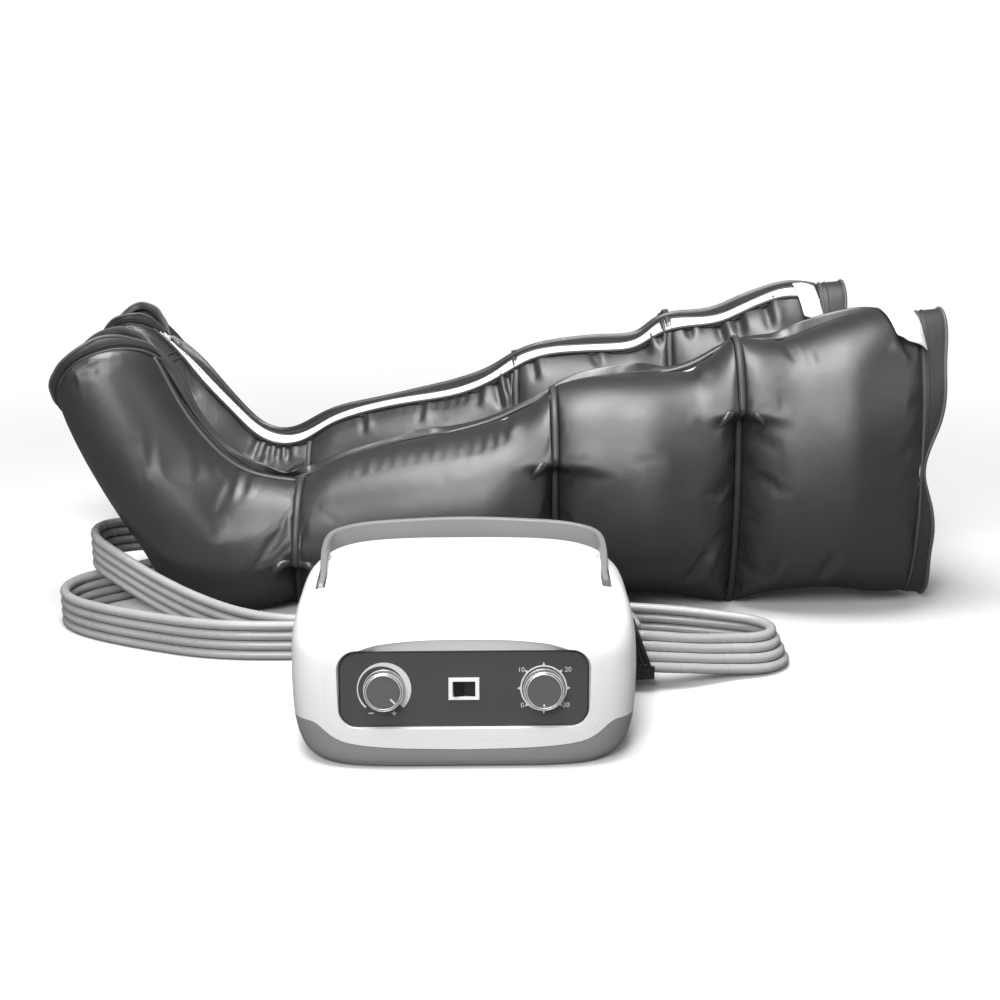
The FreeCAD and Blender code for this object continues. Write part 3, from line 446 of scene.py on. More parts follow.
# plan outline of the casing by height: z, half width, front y, back y, superellipse power
LEVELS = np.array([
    (3.0, 117.5, -102.5, 98.0, 5.4), (8.0, 122.5, -104.6, 100.5, 5.4), (16.0, 126.3, -105.3, 102.0, 5.4),
    (32.0, 129.4, -105.4, 102.8, 5.4), (60.0, 130.6, -105.0, 103.0, 5.2), (84.0, 130.0, -103.6, 102.8, 4.8),
    (95.0, 128.4, -101.0, 102.0, 4.35), (99.5, 127.2, -98.3, 101.4, 4.1), (103.5, 125.6, -93.4, 100.6, 3.85),
    (107.0, 123.6, -86.0, 99.4, 3.6), (110.0, 120.8, -72.0, 97.7, 3.4), (113.0, 117.0, -52.0, 95.5, 3.2),
    (115.2, 112.3, -28.0, 93.2, 3.1), (117.0, 106.0, -5.0, 90.5, 3.0), (118.4, 99.0, 12.0, 88.0, 2.9),
    (119.4, 90.0, 28.0, 85.0, 2.8), (120.6, 70.0, 46.0, 77.0, 2.6),
])
# half the joint between cover and tray
SEAM_GAP = 0.25
# parting line of tray and cover, seen from the front, right half
SEAM = [(0, 16.2), (45, 17.2), (70, 18.8), (86, 21.0), (95.5, 24.6), (102, 29.2), (107, 33.0), (112, 34.8),
        (119, 34.0), (127, 31.6), (150, 29.8)]


def on_panel(x, up, out):
    """Metres of a place on the panel given in millimetres."""
    return (PANEL + np.array([x, 0, 0]) + PANEL_UP * up + PANEL_OUT * out) * MM


def lofted(rings):
    """Closed solid through rings of points in metres."""
    rings = np.asarray(rings, float)
    return rings.reshape(-1, 3), capped(*rings.shape[:2])


def cutter(points, faces):
    """Loose object for one boolean."""
    mesh = bpy.data.meshes.new("cutter")
    mesh.from_pydata([tuple(p) for p in points], [], faces)
    made = linked("cutter", mesh)
    recalc(made)
    return made


def taken(mesh):
    """Points and faces of a mesh, which is removed."""
    points = np.array([v.co for v in mesh.vertices])
    faces = [tuple(f.vertices) for f in mesh.polygons]
    bpy.data.meshes.remove(mesh)
    return points, faces


def combined(body, tools):
    """Mesh of body after its tools, each one cut away, or kept alone where it says so."""
    holder = cutter(*body)
    cutters = []
    for points, faces, *operation in tools:
        tool = cutter(points, faces)
        cutters.append(tool)
        modifier = holder.modifiers.new("cut", "BOOLEAN")
        modifier.operation = operation[0] if operation else "DIFFERENCE"
        modifier.solver, modifier.object = "EXACT", tool
    mesh = bpy.data.meshes.new_from_object(holder.evaluated_get(bpy.context.evaluated_depsgraph_get()))
    for made in cutters + [holder]:
        bpy.data.objects.remove(made)
    return taken(mesh)


BOX_CORNERS = [(0, 0, 0), (1, 0, 0), (1, 1, 0), (0, 1, 0), (0, 0, 1), (1, 0, 1), (1, 1, 1), (0, 1, 1)]
BOX_FACES = [(0, 3, 2, 1), (4, 5, 6, 7), (0, 1, 5, 4), (1, 2, 6, 5), (2, 3, 7, 6), (3, 0, 4, 7)]


def box(low, high, place=(0, 0, 0), axes=np.eye(3) * MM):
    """Box between two corners, given along axes from a place."""
    return np.asarray(place) + np.where(BOX_CORNERS, high, low) @ np.asarray(axes), BOX_FACES


def extruded(outline, y0, y1):
    """Front-view outline (x, z) run from y0 to y1."""
    return lofted([[(x * MM, y * MM, z * MM) for x, z in outline] for y in (y0, y1)])


def rounded_rectangle(wide, high, radius, out):
    """Outline on the panel at one height over it."""
    points = []
    for cx, cz, start in ((1, 1, 0), (-1, 1, 90), (-1, -1, 180), (1, -1, 270)):
        for t in np.radians(np.linspace(start, start + 90, 11)):
            points.append(on_panel(cx * (wide / 2 - radius) + radius * math.cos(t),
                                   cz * (high / 2 - radius) + radius * math.sin(t), out))
    return points


def casing_body():
    """Solid through the levels, before anything is cut from it."""
    marks = np.linspace(0, len(LEVELS) - 1, CASING_ROWS)
    own = np.arange(len(LEVELS))
    table = np.stack([spline_values(own, LEVELS[:, k], marks) for k in range(5)], 1)
    t = 2 * math.pi * (np.arange(CASING_AROUND) + 0.5) / CASING_AROUND
    rings = []
    for z, half, front, back, power in table:
        x = squarish(np.cos(t), power) * half
        y = (front + back) / 2 + squarish(np.sin(t), power) * (back - front) / 2
        rings.append(np.stack([x, y, np.full_like(x, z)], 1) * MM)
    return lofted(rings)


def seam_profile(shift):
    """Front-view area under the parting line."""
    xs, zs = np.array(SEAM, float).T
    marks = np.concatenate([np.linspace(0, 86, 12), np.linspace(90, 150, 30)])
    heights = spline_values(xs, zs, marks) + shift
    right = list(zip(marks, heights))
    return [(-x, z) for x, z in right[:0:-1]] + right + [(150, -20), (-150, -20)]


def frame_profile(gap):
    """Front-view area of the front frame: the brow's arc above and a smile below."""
    side, smile, top = 101.0 + gap, 16.2 + 7.5 - gap, 99.2 + gap
    xs = np.linspace(-88, 88, 41)
    arc = [(x, top - 9.8 * (abs(x) / 88.5) ** 3) for x in xs]
    left = [(-side, smile + 18), (-side, 72.2), (3.5 - side, 83.2)]
    right = [(-x, z) for x, z in reversed(left)]
    curve = np.array([(side, smile + 18), (side - 3, smile + 9), (side - 14, smile + 3.4), (45, smile + 0.8),
                      (0, smile)])
    low = resampled(np.column_stack([curve, np.zeros(5)]), 4.0)[1:, :2]
    low = [tuple(p) for p in low] + [(-x, z) for x, z in low[-2::-1][:-1]]
    return left + arc + right + low[:-1]


def brow():
    """Scoop above the panel, from its top edge out to an arc."""
    xs = np.linspace(-BROW, BROW, 61)
    foot = PANEL_H / 2 - 0.4
    rings = []
    for out, rise in ((-0.1, 0.1), (3.0, 6.5), (10.0, 16.2), (22.0, 30.0)):
        arc = [on_panel(x, foot + rise * (1 - (abs(x) / BROW) ** 3) + 0.01, out) for x in xs]
        rings.append(arc + [on_panel(x, foot - 0.2, out) for x in xs[::-1]])
    return lofted(rings)


def rod(x, y, radius, z0, z1):
    """Upright cutter for a round hole."""
    turn = np.linspace(0, 2 * math.pi, 24, endpoint=False)
    return lofted([[((x + radius * math.cos(t)) * MM, (y + radius * math.sin(t)) * MM, z * MM) for t in turn]
                   for z in (z0, z1)])


def arm_way(side):
    """Room over one folded handle arm."""
    profile = [(-23.2, 103.5), (48, 112.5), (48, 140), (-23.2, 140)]
    return lofted([[((side * 110.0 + half) * MM, y * MM, z * MM) for y, z in profile]
                   for half in (-3.7, 3.7)])


def casing():
    """Cover, front frame and tray over the CAD ones, with the brow and the stepped parting line."""
    body = casing_body()
    room = box((-110, -82, 9), (110, 82, 90))
    above = extruded(seam_profile(SEAM_GAP), -140, 140)
    below = (*extruded(seam_profile(-SEAM_GAP), -141, 141), "INTERSECT")
    frame_way = extruded(frame_profile(0.05), -140, -76)
    frame_part = (*extruded(frame_profile(-0.02), -141, -76.5), "INTERSECT")
    recess = lofted([rounded_rectangle(PANEL_W + more, PANEL_H + more, PANEL_R + rounder, out)
                     for more, rounder, out in ((0.3, 0, -2.7), (0.3, 0, 0), (9, 4.5, 16), (9, 4.5, 30))])
    plug_way = box((98, 32.6, 10.6), (140, 67.4, 55.4))
    back = [arm_way(side) for side in (-1, 1)]
    back += [box((-79, 99.4, 30.5), (-23.5, 112, 61.5)), box((-76.2, 80, 35), (-47.8, 112, 57)),
             box((-38.9, 80, 40.1), (-27.1, 112, 51.9))]
    back += [box((20 + 9 * k, 78, 46), (24.5 + 9 * k, 112, 82)) for k in range(8)]
    under = [rod(x, y, 4.2, -1, 6.2) for x in (-96, 96) for y in (-70, 70)]
    under += [box((-60 + 12 * k, -50, -1), (-56 + 12 * k, -22, 10)) for k in range(6)]
    for name, tools, surface, slot, replaced in (
            ("cover", [above, frame_way, room, plug_way] + back, WHITE_ABS, "white_casing", "top_cover"),
            ("frame", [above, frame_part, room, recess, brow()], WHITE_ABS, "white_casing", "front_frame"),
            ("tray", [below, room, plug_way] + under, GREY_ABS, "grey_casing", "base_tray")):
        made = piece(f"{name}_shell", *combined(body, tools), surface, slot, replaces=[replaced])
        made.data.set_sharp_from_angle(angle=math.radians(28))
        made.modifiers.new("normals", "WEIGHTED_NORMAL").keep_sharp = True


def turned(x, profile):
    """Ring swept round the knob axis at x; profile holds radius and height."""
    points = [on_panel(x + r * math.cos(t), r * math.sin(t), h)
              for t in np.linspace(0, 2 * math.pi, KNOB_SIDES, endpoint=False) for r, h in profile]
    return points, grid_faces(KNOB_SIDES, len(profile), round_rows=True)


def dial(name, x, body, pointer, mark):
    """Turned knob with a sunk dark face, bright rings on its edges as painted highlights, and a light pointer
    line.
    """
    r, h = KNOB_R, KNOB_H
    profile = [(0.2, 1.0), (r, 1.0), (r, 2.6), (r - 0.5, 3.2), (r - 0.7, h - 1.6), (r - 1.5, h - 0.3),
               (r - 2.4, h), (r - 2.8, h - 0.6), (0.2, h - 0.6)]
    made = solid(f"{name}_dial", *turned(x, profile), KNOB, "knob_metal", body, replaces=[f"{name}_knob"])
    made.data.set_sharp_from_angle(angle=math.radians(25))
    disc = turned(x, ((0.3, h - 0.7), (0.3, h - 0.5), (r - 2.9, h - 0.5), (r - 2.9, h - 0.7)))
    solid(f"{name}_face", *disc, KNOB_FACE, "knob_metal", body, smooth=False)
    # thin pale rings at the face's edge and on the skirt: painted highlights of the knob edges
    edges = ((r - 2.4, h - 0.05, 0.32), (r - 1.0, h - 0.9, 0.4), (r - 0.2, 2.6, 0.35))
    highlight_rims = [turned(x, [(radius + thick * math.cos(a), height + thick * math.sin(a))
                       for a in np.linspace(0, 2 * math.pi, 10, endpoint=False)])
            for radius, height, thick in edges]
    solid(f"{name}_rims", *joined(highlight_rims), RIM_HIGHLIGHT, "knob_metal", body)
    ways = [[math.cos(a), *(PANEL_UP[1:] * math.sin(a))] for a in np.radians((pointer, pointer + 90))]
    line = box((mark[0], -0.65, h - 0.6), (mark[1], 0.65, h - 0.36), on_panel(x, 0, 0),
               np.array([*ways, PANEL_OUT]) * MM)
    solid(f"{name}_pointer", *line, PRINT, "knob_metal", body, smooth=False)


def plug():
    """Foot block, core and three slanted fins of the double hose plug."""
    parts = [extruded([(127, 12), (155.5, 12), (155.5, 22.5), (127, 22.5)], 34, 66),
             extruded([(127, 22), (153.5, 22), (141, 54), (127, 54)], 39, 66),
             extruded([(127, 22), (138.5, 22), (127, 50)], 34, 39.5)]
    for k in range(3):
        low, high = 153.5 - 4.6 * k, 141 - 4.6 * k
        parts.append(extruded([(low - 2.9, 22), (low, 22), (high, 54), (max(high - 2.9, 127), 54)], 34, 39.5))
    return solid("plug_fins", *joined(parts), BLACK, "black_plastic", smooth=False, replaces=["hose_plug"])


casing()
# thin black ring round the panel's edge: painted shadow of the recess's lip over the panel
edge = rounded_rectangle(PANEL_W - 0.5, PANEL_H - 0.5, PANEL_R, 0.15)
solid("panel_gasket", *tube(edge, 0.0006, 8, closed=True, up=PANEL_OUT), BLACK, "black_plastic")
plug_piece = plug()
dial("pressure", -KNOB_X, "pressure_control", -45, (7.0, 11.8))
dial("timer", KNOB_X, "timer_control", -90, (9.6, 11.4))

# ---- hose ribbons --------------------------------------------------------------------------
HOSE_D, HOSE_COUNT, WEB = 0.009, 4, 0.0022
# how far the four hoses lean from upright, in degrees, at distances in metres from the plug
FRONT_LEAN = [(0.0, 0), (1.0, 0)]
REAR_LEAN = [(0.0, 38), (0.04, 42), (0.1, 34), (0.16, 22), (0.24, 8), (0.34, 0), (1.2, 0)]
FRONT_ROUTE = [
    (143, 66, 33), (143, 90, 33), (132, 113, 30), (107, 125, 26), (62, 128, 20.5), (7, 125, 18),
    (-58, 120, 18), (-113, 115, 18), (-168, 112, 18), (-226, 117, 18), (-280, 138, 18),
    (-327, 161, 18), (-359, 184, 18), (-373, 210, 18), (-369, 237, 18), (-350, 258, 18),
    (-321, 279, 18), (-294, 304, 18), (-262, 320.5, 20), (-230, 320.5, 20),
]
REAR_ROUTE = [
    (144, 50, 31.0), (170, 50, 29.5), (200, 61, 23.5), (226, 71.5, 19.5), (253, 76, 18), (269.5, 90.5, 18),
    (269.5, 112.5, 18), (253, 128, 18), (228, 136.5, 18), (197, 146, 18), (162, 154, 18),
    (127, 157.5, 18), (87, 157.5, 18), (42, 154, 18), (-5, 148.5, 18), (-50, 143, 18), (-96, 136.5, 18),
    (-146, 126, 18), (-194, 139, 19), (-241, 166, 25), (-285, 191, 38), (-322, 211, 54), (-345, 234, 60),
    (-353, 264, 60), (-351, 301, 55), (-339, 342, 45), (-324, 386, 33), (-301, 426, 23), (-267, 445.5, 20),
    (-228, 445.5, 20),
]


def from_curve(curve):
    """Points and faces of a curve, which is removed."""
    holder = linked("curve", curve)
    mesh = bpy.data.meshes.new_from_object(holder)
    bpy.data.objects.remove(holder)
    bpy.data.curves.remove(curve)
    return taken(mesh)


def route_line(route):
    """Points of the NURBS spline that has the route as its control points."""
    curve = bpy.data.curves.new("route", "CURVE")
    curve.dimensions, curve.resolution_u = "3D", 16
    spline = curve.splines.new("NURBS")
    spline.points.add(len(route) - 1)
    for point, place in zip(spline.points, route):
        point.co = (*(c * MM for c in place), 1)
    spline.order_u, spline.use_endpoint_u = 3, True
    return from_curve(curve)[0]


def ribbon(name, route, lean):
    """Four joined hoses along the route, lying flat or standing on edge as lean says."""
    line = route_line(route)
    path = resampled(line, 0.004)
    ahead = np.gradient(path, axis=0)
    side = unit(np.cross((0, 0, 1), ahead))
    angle = np.radians(np.interp(distances(path), *np.array(lean).T))[:, None]
    stack = np.cos(angle) * (0, 0, 1) + np.sin(angle) * side
    middle = (HOSE_COUNT - 1) / 2
    strands = [tube(path + stack * (k - middle) * HOSE_D, HOSE_D / 2 * 0.97, 14, up=stack)
               for k in range(HOSE_COUNT)]
    count = sum(len(faces) for _, faces in strands)
    # dark tubes in the joins between the hoses: painted shade of the grooves
    strands += [tube(path + stack * (k + 0.5 - middle) * HOSE_D, WEB / 2, 6, up=stack, flat=1.6)
                for k in range(HOSE_COUNT - 1)]
    points, faces = joined(strands)
    slots = [0] * count + [1] * (len(faces) - count)
    made = solid(name, points, faces, [HOSE, HOSE_GROOVE_SHADE], "hose_pvc", replaces=[name.replace("_strands", "")],
                 face_slots=slots)


ribbon("hose_ribbon_front_strands", FRONT_ROUTE, FRONT_LEAN)
ribbon("hose_ribbon_rear_strands", REAR_ROUTE, REAR_LEAN)

# ---- leg sleeves ---------------------------------------------------------------------------
# bottom (x, z), top (x, z), half width, in the front sleeve's own millimetres
FOOT = [
    ((-367, 186), (-285, 238), 40), ((-345, 130), (-262, 188), 57), ((-310, 66), (-228, 148), 58),
    ((-270, 6), (-202, 131), 55), ((-226, 0), (-181, 126), 54), ((-165, 4), (-161, 124), 42),
]
CALF = [
    ((-160, 5), (-156, 124), 42), ((-124, 9), (-126, 141), 60), ((-50, 7), (-48, 161), 68),
    ((10, 6), (8, 171), 70), ((50, 4), (51, 190), 64), ((77, 3), (74, 207), 48),
]
KNEE = [
    ((82, 3), (80, 212), 48), ((110, 10), (112, 219), 70), ((165, 14), (160, 222), 77),
    ((211, 9), (205, 225), 70), ((246, 0), (243, 256), 48),
]
REAR_FOOT = [
    ((-392, 196), (-324, 208), 38), ((-366, 143), (-291, 190), 53), ((-328, 74), (-250, 153), 55),
    ((-280, 8), (-212, 121), 52), ((-226, 0), (-184, 114), 50), ((-165, 4), (-161, 120), 42),
]
THIGH = [
    ((251, 0), (248, 256), 48), ((285, 12), (284, 253), 72), ((340, 16), (345, 273), 78),
    ((385, 11), (382, 281), 70), ((417, 10), (410, 279), 48),
]
# heights of the gathers on the near flank, at the seams behind foot, calf and knee
KNOT_HEIGHTS = (53, 146, 191)
# superellipse power of a chamber's section at its seams, and how much it gains between them
ROUND, FULLER = 1.85, 0.35
# how far the flanks of the toe end reach out beyond its top and bottom
DOME, DOME_REACH = 40.0, 75.0
AROUND, INNER_ROWS = 128, 12
WALL_SHARE = 0.42
PILLOW = 50.0
UPPER_SEAM, LOWER_SEAM = 0.3, -0.26
# cloth simulation of one chamber: frames, pressure, share of spare cloth, farthest move
FRAMES, PRESSURE, SLACK, CAP = 20, 2.5, 0.022, 0.009


# where the mouth starts to rise and where it has risen, and how high it is without that
MOUTH_X, MOUTH_HEIGHT = (310, 400), 270


class Sleeve:
    """Places a sleeve's own millimetres in the frame."""

    def __init__(self, name, scale_x, shift_x, scale_z, y_at_zero, y_slope, foot, mouth_rise):
        self.name, self.foot, self.mouth_rise = name, foot, mouth_rise
        self.scale_x, self.shift_x, self.scale_z = scale_x, shift_x, scale_z
        self.y_at_zero, self.y_slope = y_at_zero, y_slope

    def place(self, x, z, across):
        z = z * (1 + self.mouth_rise * smooth(x, *MOUTH_X) / MOUTH_HEIGHT)
        px = self.shift_x + self.scale_x * np.asarray(x, float)
        return np.stack([px, self.y_at_zero + self.y_slope * px + across, self.scale_z * z], -1) * MM


FRONT = Sleeve("front", 1.0, 4.6, 1.0, 258.0, 0.012, FOOT, 0.0)
REAR = Sleeve("rear", 0.933, -20.2, 0.98, 475.0, -0.118, REAR_FOOT, 9.0)


def smooth(value, low, high):
    t = np.clip((np.asarray(value, float) - low) / (high - low), 0, 1)
    return t * t * (3 - 2 * t)


def section(half, tall, power):
    """Superellipse points by arc length, from the top down the near side; (across, rise) in millimetres."""
    t = np.linspace(0, 2 * math.pi, 721)
    across, rise = -squarish(np.sin(t), power) * half, squarish(np.cos(t), power) * tall
    along = distances(np.stack([across, rise], 1))
    quarters = along[::180]
    marks = np.concatenate([np.linspace(quarters[i], quarters[i + 1], AROUND // 4, endpoint=False)
                            for i in range(4)])
    return np.interp(marks, along, across), np.interp(marks, along, rise)


def chamber_rings(stations, count, knots_at, shrink=0.0, dome=0.0):
    """Rings of points (x, z, across) in sleeve millimetres: a pillow that swells quickly from both seams.

    knots_at holds the height of the gather at each end, or None: above it the seam lies shallower,
    below it deeper. dome pushes the flanks of the first end out."""
    bottom, top = (np.array([s[i] for s in stations], float) for i in (0, 1))
    half = np.array([s[2] for s in stations], float)
    centre = (bottom + top) / 2
    knots = distances(centre)
    reach = knots[-1]
    knots /= reach
    u = np.linspace(0, 1, count)
    u = 0.5 * u + 0.5 * (0.5 - 0.5 * np.cos(math.pi * u))
    body = half.copy()
    body[0], body[-1] = half[1], half[-2]
    bx, bz, tx, tz, hw = (spline_values(knots, v, u) for v in
                          (bottom[:, 0], bottom[:, 1], top[:, 0], top[:, 1], body))
    end = unit(top[0] - bottom[0])
    rows = []
    for i in range(count):
        low, high = np.array([bx[i], bz[i]]), np.array([tx[i], tz[i]])
        middle, up = (low + high) / 2, (high - low) / 2
        tall = np.linalg.norm(up)
        up = up / tall
        last = int(u[i] > 0.5)
        bulge = math.sqrt(1 - (1 - min(1.0, min(u[i], 1 - u[i]) * reach / PILLOW)) ** 2)
        seam = half[-1] if last else half[0]
        width = seam + (hw[i] - seam) * bulge
        across, rise = section(width * (1 - shrink), tall - shrink * hw[i], ROUND + FULLER * bulge)
        knot = knots_at[last]
        if knot is not None:
            above = smooth(middle[1] + up[1] * rise - knot, -5, 5)
            across *= 1 + (LOWER_SEAM + (UPPER_SEAM - LOWER_SEAM) * above) * (1 - bulge)
        share = np.abs(across) / np.abs(across).max()
        push = dome * share ** 0.9 * (1 - smooth(u[i] * reach, 0, DOME_REACH))
        rows.append(np.stack([middle[0] + up[0] * rise - end[1] * push,
                              middle[1] + up[1] * rise + end[0] * push, across], 1))
    return np.array(rows)


def grid_normals(grid):
    """Outward directions on a grid of rings."""
    ahead = np.gradient(grid, axis=0)
    round_it = np.roll(grid, -1, 1) - np.roll(grid, 1, 1)
    normals = unit(np.cross(ahead, round_it))
    outward = grid - grid.mean(1, keepdims=True)
    return normals if (normals * outward).sum() > 0 else -normals


def inflate(grid):
    """Cloth simulation of a chamber's skin, held at its two seams, with cloth to spare so that it puckers."""
    rows = len(grid)
    flat = grid.reshape(-1, 3)
    mesh = bpy.data.meshes.new("inflating")
    mesh.from_pydata(flat.tolist(), [], grid_faces(rows, AROUND))
    holder = linked("inflating", mesh)
    recalc(holder)
    middle = flat.mean(0)
    face = mesh.polygons[(rows // 2) * AROUND + AROUND // 4]
    if face.normal.dot(face.center - Vector(middle)) < 0:
        mesh.flip_normals()
    pins = holder.vertex_groups.new(name="pins")
    pins.add(list(range(AROUND)) + list(range(len(flat) - AROUND, len(flat))), 1.0, "REPLACE")
    modifier = holder.modifiers.new("cloth", "CLOTH")
    cloth = modifier.settings
    cloth.quality, cloth.mass = 5, 0.15
    cloth.tension_stiffness = cloth.compression_stiffness = 18
    cloth.shear_stiffness, cloth.bending_stiffness = 4, 0.25
    cloth.use_pressure, cloth.uniform_pressure_force = True, PRESSURE
    cloth.shrink_min = -SLACK
    cloth.vertex_group_mass = "pins"
    cloth.effector_weights.gravity = 0
    modifier.collision_settings.use_collision = False
    modifier.point_cache.frame_start, modifier.point_cache.frame_end = 1, FRAMES
    for step in range(1, FRAMES + 1):
        scene.frame_set(step)
    held = holder.evaluated_get(bpy.context.evaluated_depsgraph_get())
    moved = np.array([v.co for v in held.data.vertices])
    bpy.data.objects.remove(holder)
    bpy.data.meshes.remove(mesh)
    scene.frame_set(1)
    from_top = np.minimum(np.arange(AROUND), AROUND - np.arange(AROUND))
    move = (moved - flat) * np.tile(0.2 + 0.8 * smooth(from_top, 10, 26), rows)[:, None]
    length = np.linalg.norm(move, axis=1)[:, None] + 1e-9
    return (flat + move / length * CAP * np.tanh(length / CAP)).reshape(grid.shape)


# height of the lip beside a fold, as a share of its depth
LIP = 0.6


def crease(grid, rings, start, end, depth, width, side=-1):
    """Fold along a line from start to end (x, z) on one flank: a groove with a raised lip beside it."""
    start, end = np.array(start, float), np.array(end, float)
    run = end - start
    length = np.linalg.norm(run)
    run /= length
    flank = rings[..., :2] - start
    along = (flank @ run) / length
    off = flank @ np.array([-run[1], run[0]])
    taper = smooth(along, -0.12, 0.25) * (1 - smooth(along, 0.75, 1.12)) * (rings[..., 2] * side > 0)
    form = LIP * np.exp(-((off - 1.7 * width) / (1.5 * width)) ** 2) - np.exp(-(off / width) ** 2)
    return grid + grid_normals(grid) * (form * depth * taper * MM)[..., None]


def puckers(grid, rings, x0, x1, rows, depth, pitch):
    """Row of short gathers under a stitched seam along the top of the near flank, between two places."""
    x, across = rings[..., 0], rings[..., 2]
    drop = rings[:, :1, 1] - rings[..., 1]
    window = smooth(x, x0 - 6, x0 + 10) * (1 - smooth(x, x1 - 10, x1 + 6)) * (across < 0)
    below = smooth(drop, rows[0] - 3, rows[0] + 4) * (1 - smooth(drop, rows[0] + 8, rows[1]))
    uneven = 0.65 + 0.35 * np.sin(x / 23.0 + 1.3)
    wave = np.minimum(0, np.sin(2 * math.pi * x / pitch + 0.8 * np.sin(x / 31.0)))
    return grid + grid_normals(grid) * (wave * uneven * depth * window * below * MM)[..., None]


# folds of each chamber on the near flank: start (x, z), end (x, z), depth, width
FOLDS = {
    "front_foot": [((-224, 132), (-236, 112), 1.3, 3.2), ((-212, 138), (-217, 116), 1.5, 3.0),
                   ((-199, 134), (-203, 118), 1.2, 2.8)],
    "front_calf": [((40, 188), (30, 176), 2.6, 3.0)],
    "front_knee": [((219, 73), (200, 36), 5.5, 4.5), ((204, 238), (206, 222), 4.0, 4.0)],
    "front_thigh": [((283, 62), (274, 34), 4.5, 4.0), ((334, 68), (324, 38), 4.5, 4.0),
                    ((284, 262), (298, 240), 2.2, 4.0), ((303, 256), (312, 238), 1.6, 3.6),
                    ((400, 246), (388, 262), 3.6, 4.5)],
    "rear_foot": [((-214, 122), (-226, 96), 3.0, 3.2), ((-204, 120), (-210, 92), 3.2, 3.0),
                  ((-194, 119), (-196, 92), 3.0, 3.0), ((-184, 118), (-184, 94), 2.6, 3.0)],
    "rear_calf": [((52, 196), (60, 160), 5.0, 4.5), ((66, 204), (72, 172), 4.5, 4.0),
                  ((38, 184), (34, 160), 3.0, 3.6), ((-96, 152), (-94, 128), 3.0, 3.0),
                  ((-28, 166), (-30, 142), 3.0, 3.0)],
    "rear_knee": [((216, 262), (222, 220), 5.5, 4.5), ((228, 262), (238, 228), 4.5, 4.0),
                  ((160, 222), (170, 206), 3.0, 4.0), ((96, 212), (100, 190), 3.0, 4.0)],
    "rear_thigh": [((296, 262), (304, 232), 4.5, 4.5), ((318, 272), (322, 240), 5.0, 4.5),
                   ((346, 280), (352, 244), 4.5, 5.0), ((262, 262), (270, 236), 4.0, 4.0)],
}


def chamber(sleeve, name, stations, count, knots_at):
    """Skin of one chamber with its bore; returns the outside grid and its rings in sleeve millimetres."""
    dome = DOME if name == "foot" else 0.0
    rings = chamber_rings(stations, count, knots_at, dome=dome)
    outer = inflate(sleeve.place(*np.moveaxis(rings, -1, 0)))
    for start, end, depth, width in FOLDS[f"{sleeve.name}_{name}"]:
        outer = crease(outer, rings, start, end, depth, width)
        outer = crease(outer, rings, start, end, depth * 0.7, width * 1.3, side=1)
    if name == "calf":
        outer = puckers(outer, rings, -110, 40, (2, 13), 1.8, 12.0)
    outer[..., 2] = np.maximum(outer[..., 2], 0.0004)
    inner_rings = chamber_rings(stations, INNER_ROWS, knots_at, WALL_SHARE, dome)
    inner = sleeve.place(*np.moveaxis(inner_rings, -1, 0))
    points = np.concatenate([outer.reshape(-1, 3), inner.reshape(-1, 3)])
    faces = grid_faces(count, AROUND)
    start, last, last_inner = count * AROUND, (count - 1) * AROUND, (count + INNER_ROWS - 1) * AROUND
    rest = [tuple(i + start for i in face[::-1]) for face in grid_faces(INNER_ROWS, AROUND)]
    for k in range(AROUND):
        m = (k + 1) % AROUND
        rest += [(k, m, start + m, start + k), (last + m, last + k, last_inner + k, last_inner + m)]
    along = np.concatenate([[0], np.cumsum(np.linalg.norm(np.diff(outer, axis=0), axis=2).mean(1))])
    middle = outer[count // 2]
    across = np.arange(AROUND) * np.linalg.norm(middle - np.roll(middle, -1, 0), axis=1).mean()
    uv = [np.stack(np.meshgrid(rows, across, indexing="ij"), -1).reshape(-1, 2)
          for rows in (along, np.linspace(0, along[-1], INNER_ROWS))]
    made = solid(f"{sleeve.name}_{name}_skin", points, faces + rest, [NYLON, NYLON_IN], "nylon_grey",
                 replaces=[f"{sleeve.name}_{name}_chamber"], uv=np.concatenate(uv),
                 face_slots=[0] * len(faces) + [1] * len(rest))
    subdivide(made)
    return outer, rings


def smoothed(line, window):
    """Moving average along a line whose ends stay."""
    padded = np.concatenate([np.repeat(line[:1], window, 0), line, np.repeat(line[-1:], window, 0)])
    kernel = np.hanning(2 * window + 3)[1:-1]
    kernel /= kernel.sum()
    return np.stack([np.convolve(padded[:, k], kernel, "valid") for k in range(3)], 1)


def top_line(grids, across, side):
    """Line over all chambers at one distance from the middle of the top, on one flank."""
    line = []
    for outer, rings in grids:
        columns = [(side * -k) % AROUND for k in range(AROUND // 4)]
        for row, ring in zip(outer, rings):
            reach = np.abs(ring[columns, 2])
            line.append([np.interp(across, reach, row[columns, axis]) for axis in range(3)])
    return smoothed(resampled(line, 0.003), 5)


def skin_line(outer, rings, x, arcs):
    """Points on a chamber's skin, and their outward directions, at x and at distances from the top.

    Positive distances go down the near flank."""
    row = np.interp(x, rings[:, 0, 0], np.arange(len(rings)))
    first = min(int(row), len(rings) - 2)
    share = row - first
    normals = grid_normals(outer)
    line, out = ((1 - share) * grid[first] + share * grid[first + 1] for grid in (outer, normals))
    order = np.roll(np.arange(AROUND), AROUND // 2)
    line, out = line[order], out[order]
    along = distances(line) / MM
    along -= along[AROUND // 2]
    return read_at(arcs, along, line), read_at(arcs, along, out)


# rings of the zip's tape (share of its width, lift) and of the flap beside it (distance out, lift)
TAPE = ((0, -1.0), (0, 2.4), (0.15, 3.0), (0.5, 3.2), (0.85, 3.0), (1, 2.4), (1, -1.0))
FLAP = ((1.0, 0.0), (0.6, 4.5), (2.5, 8.5), (4.5, 9.5), (6.5, 8.5), (5.5, 4.0), (5.0, 0.0))
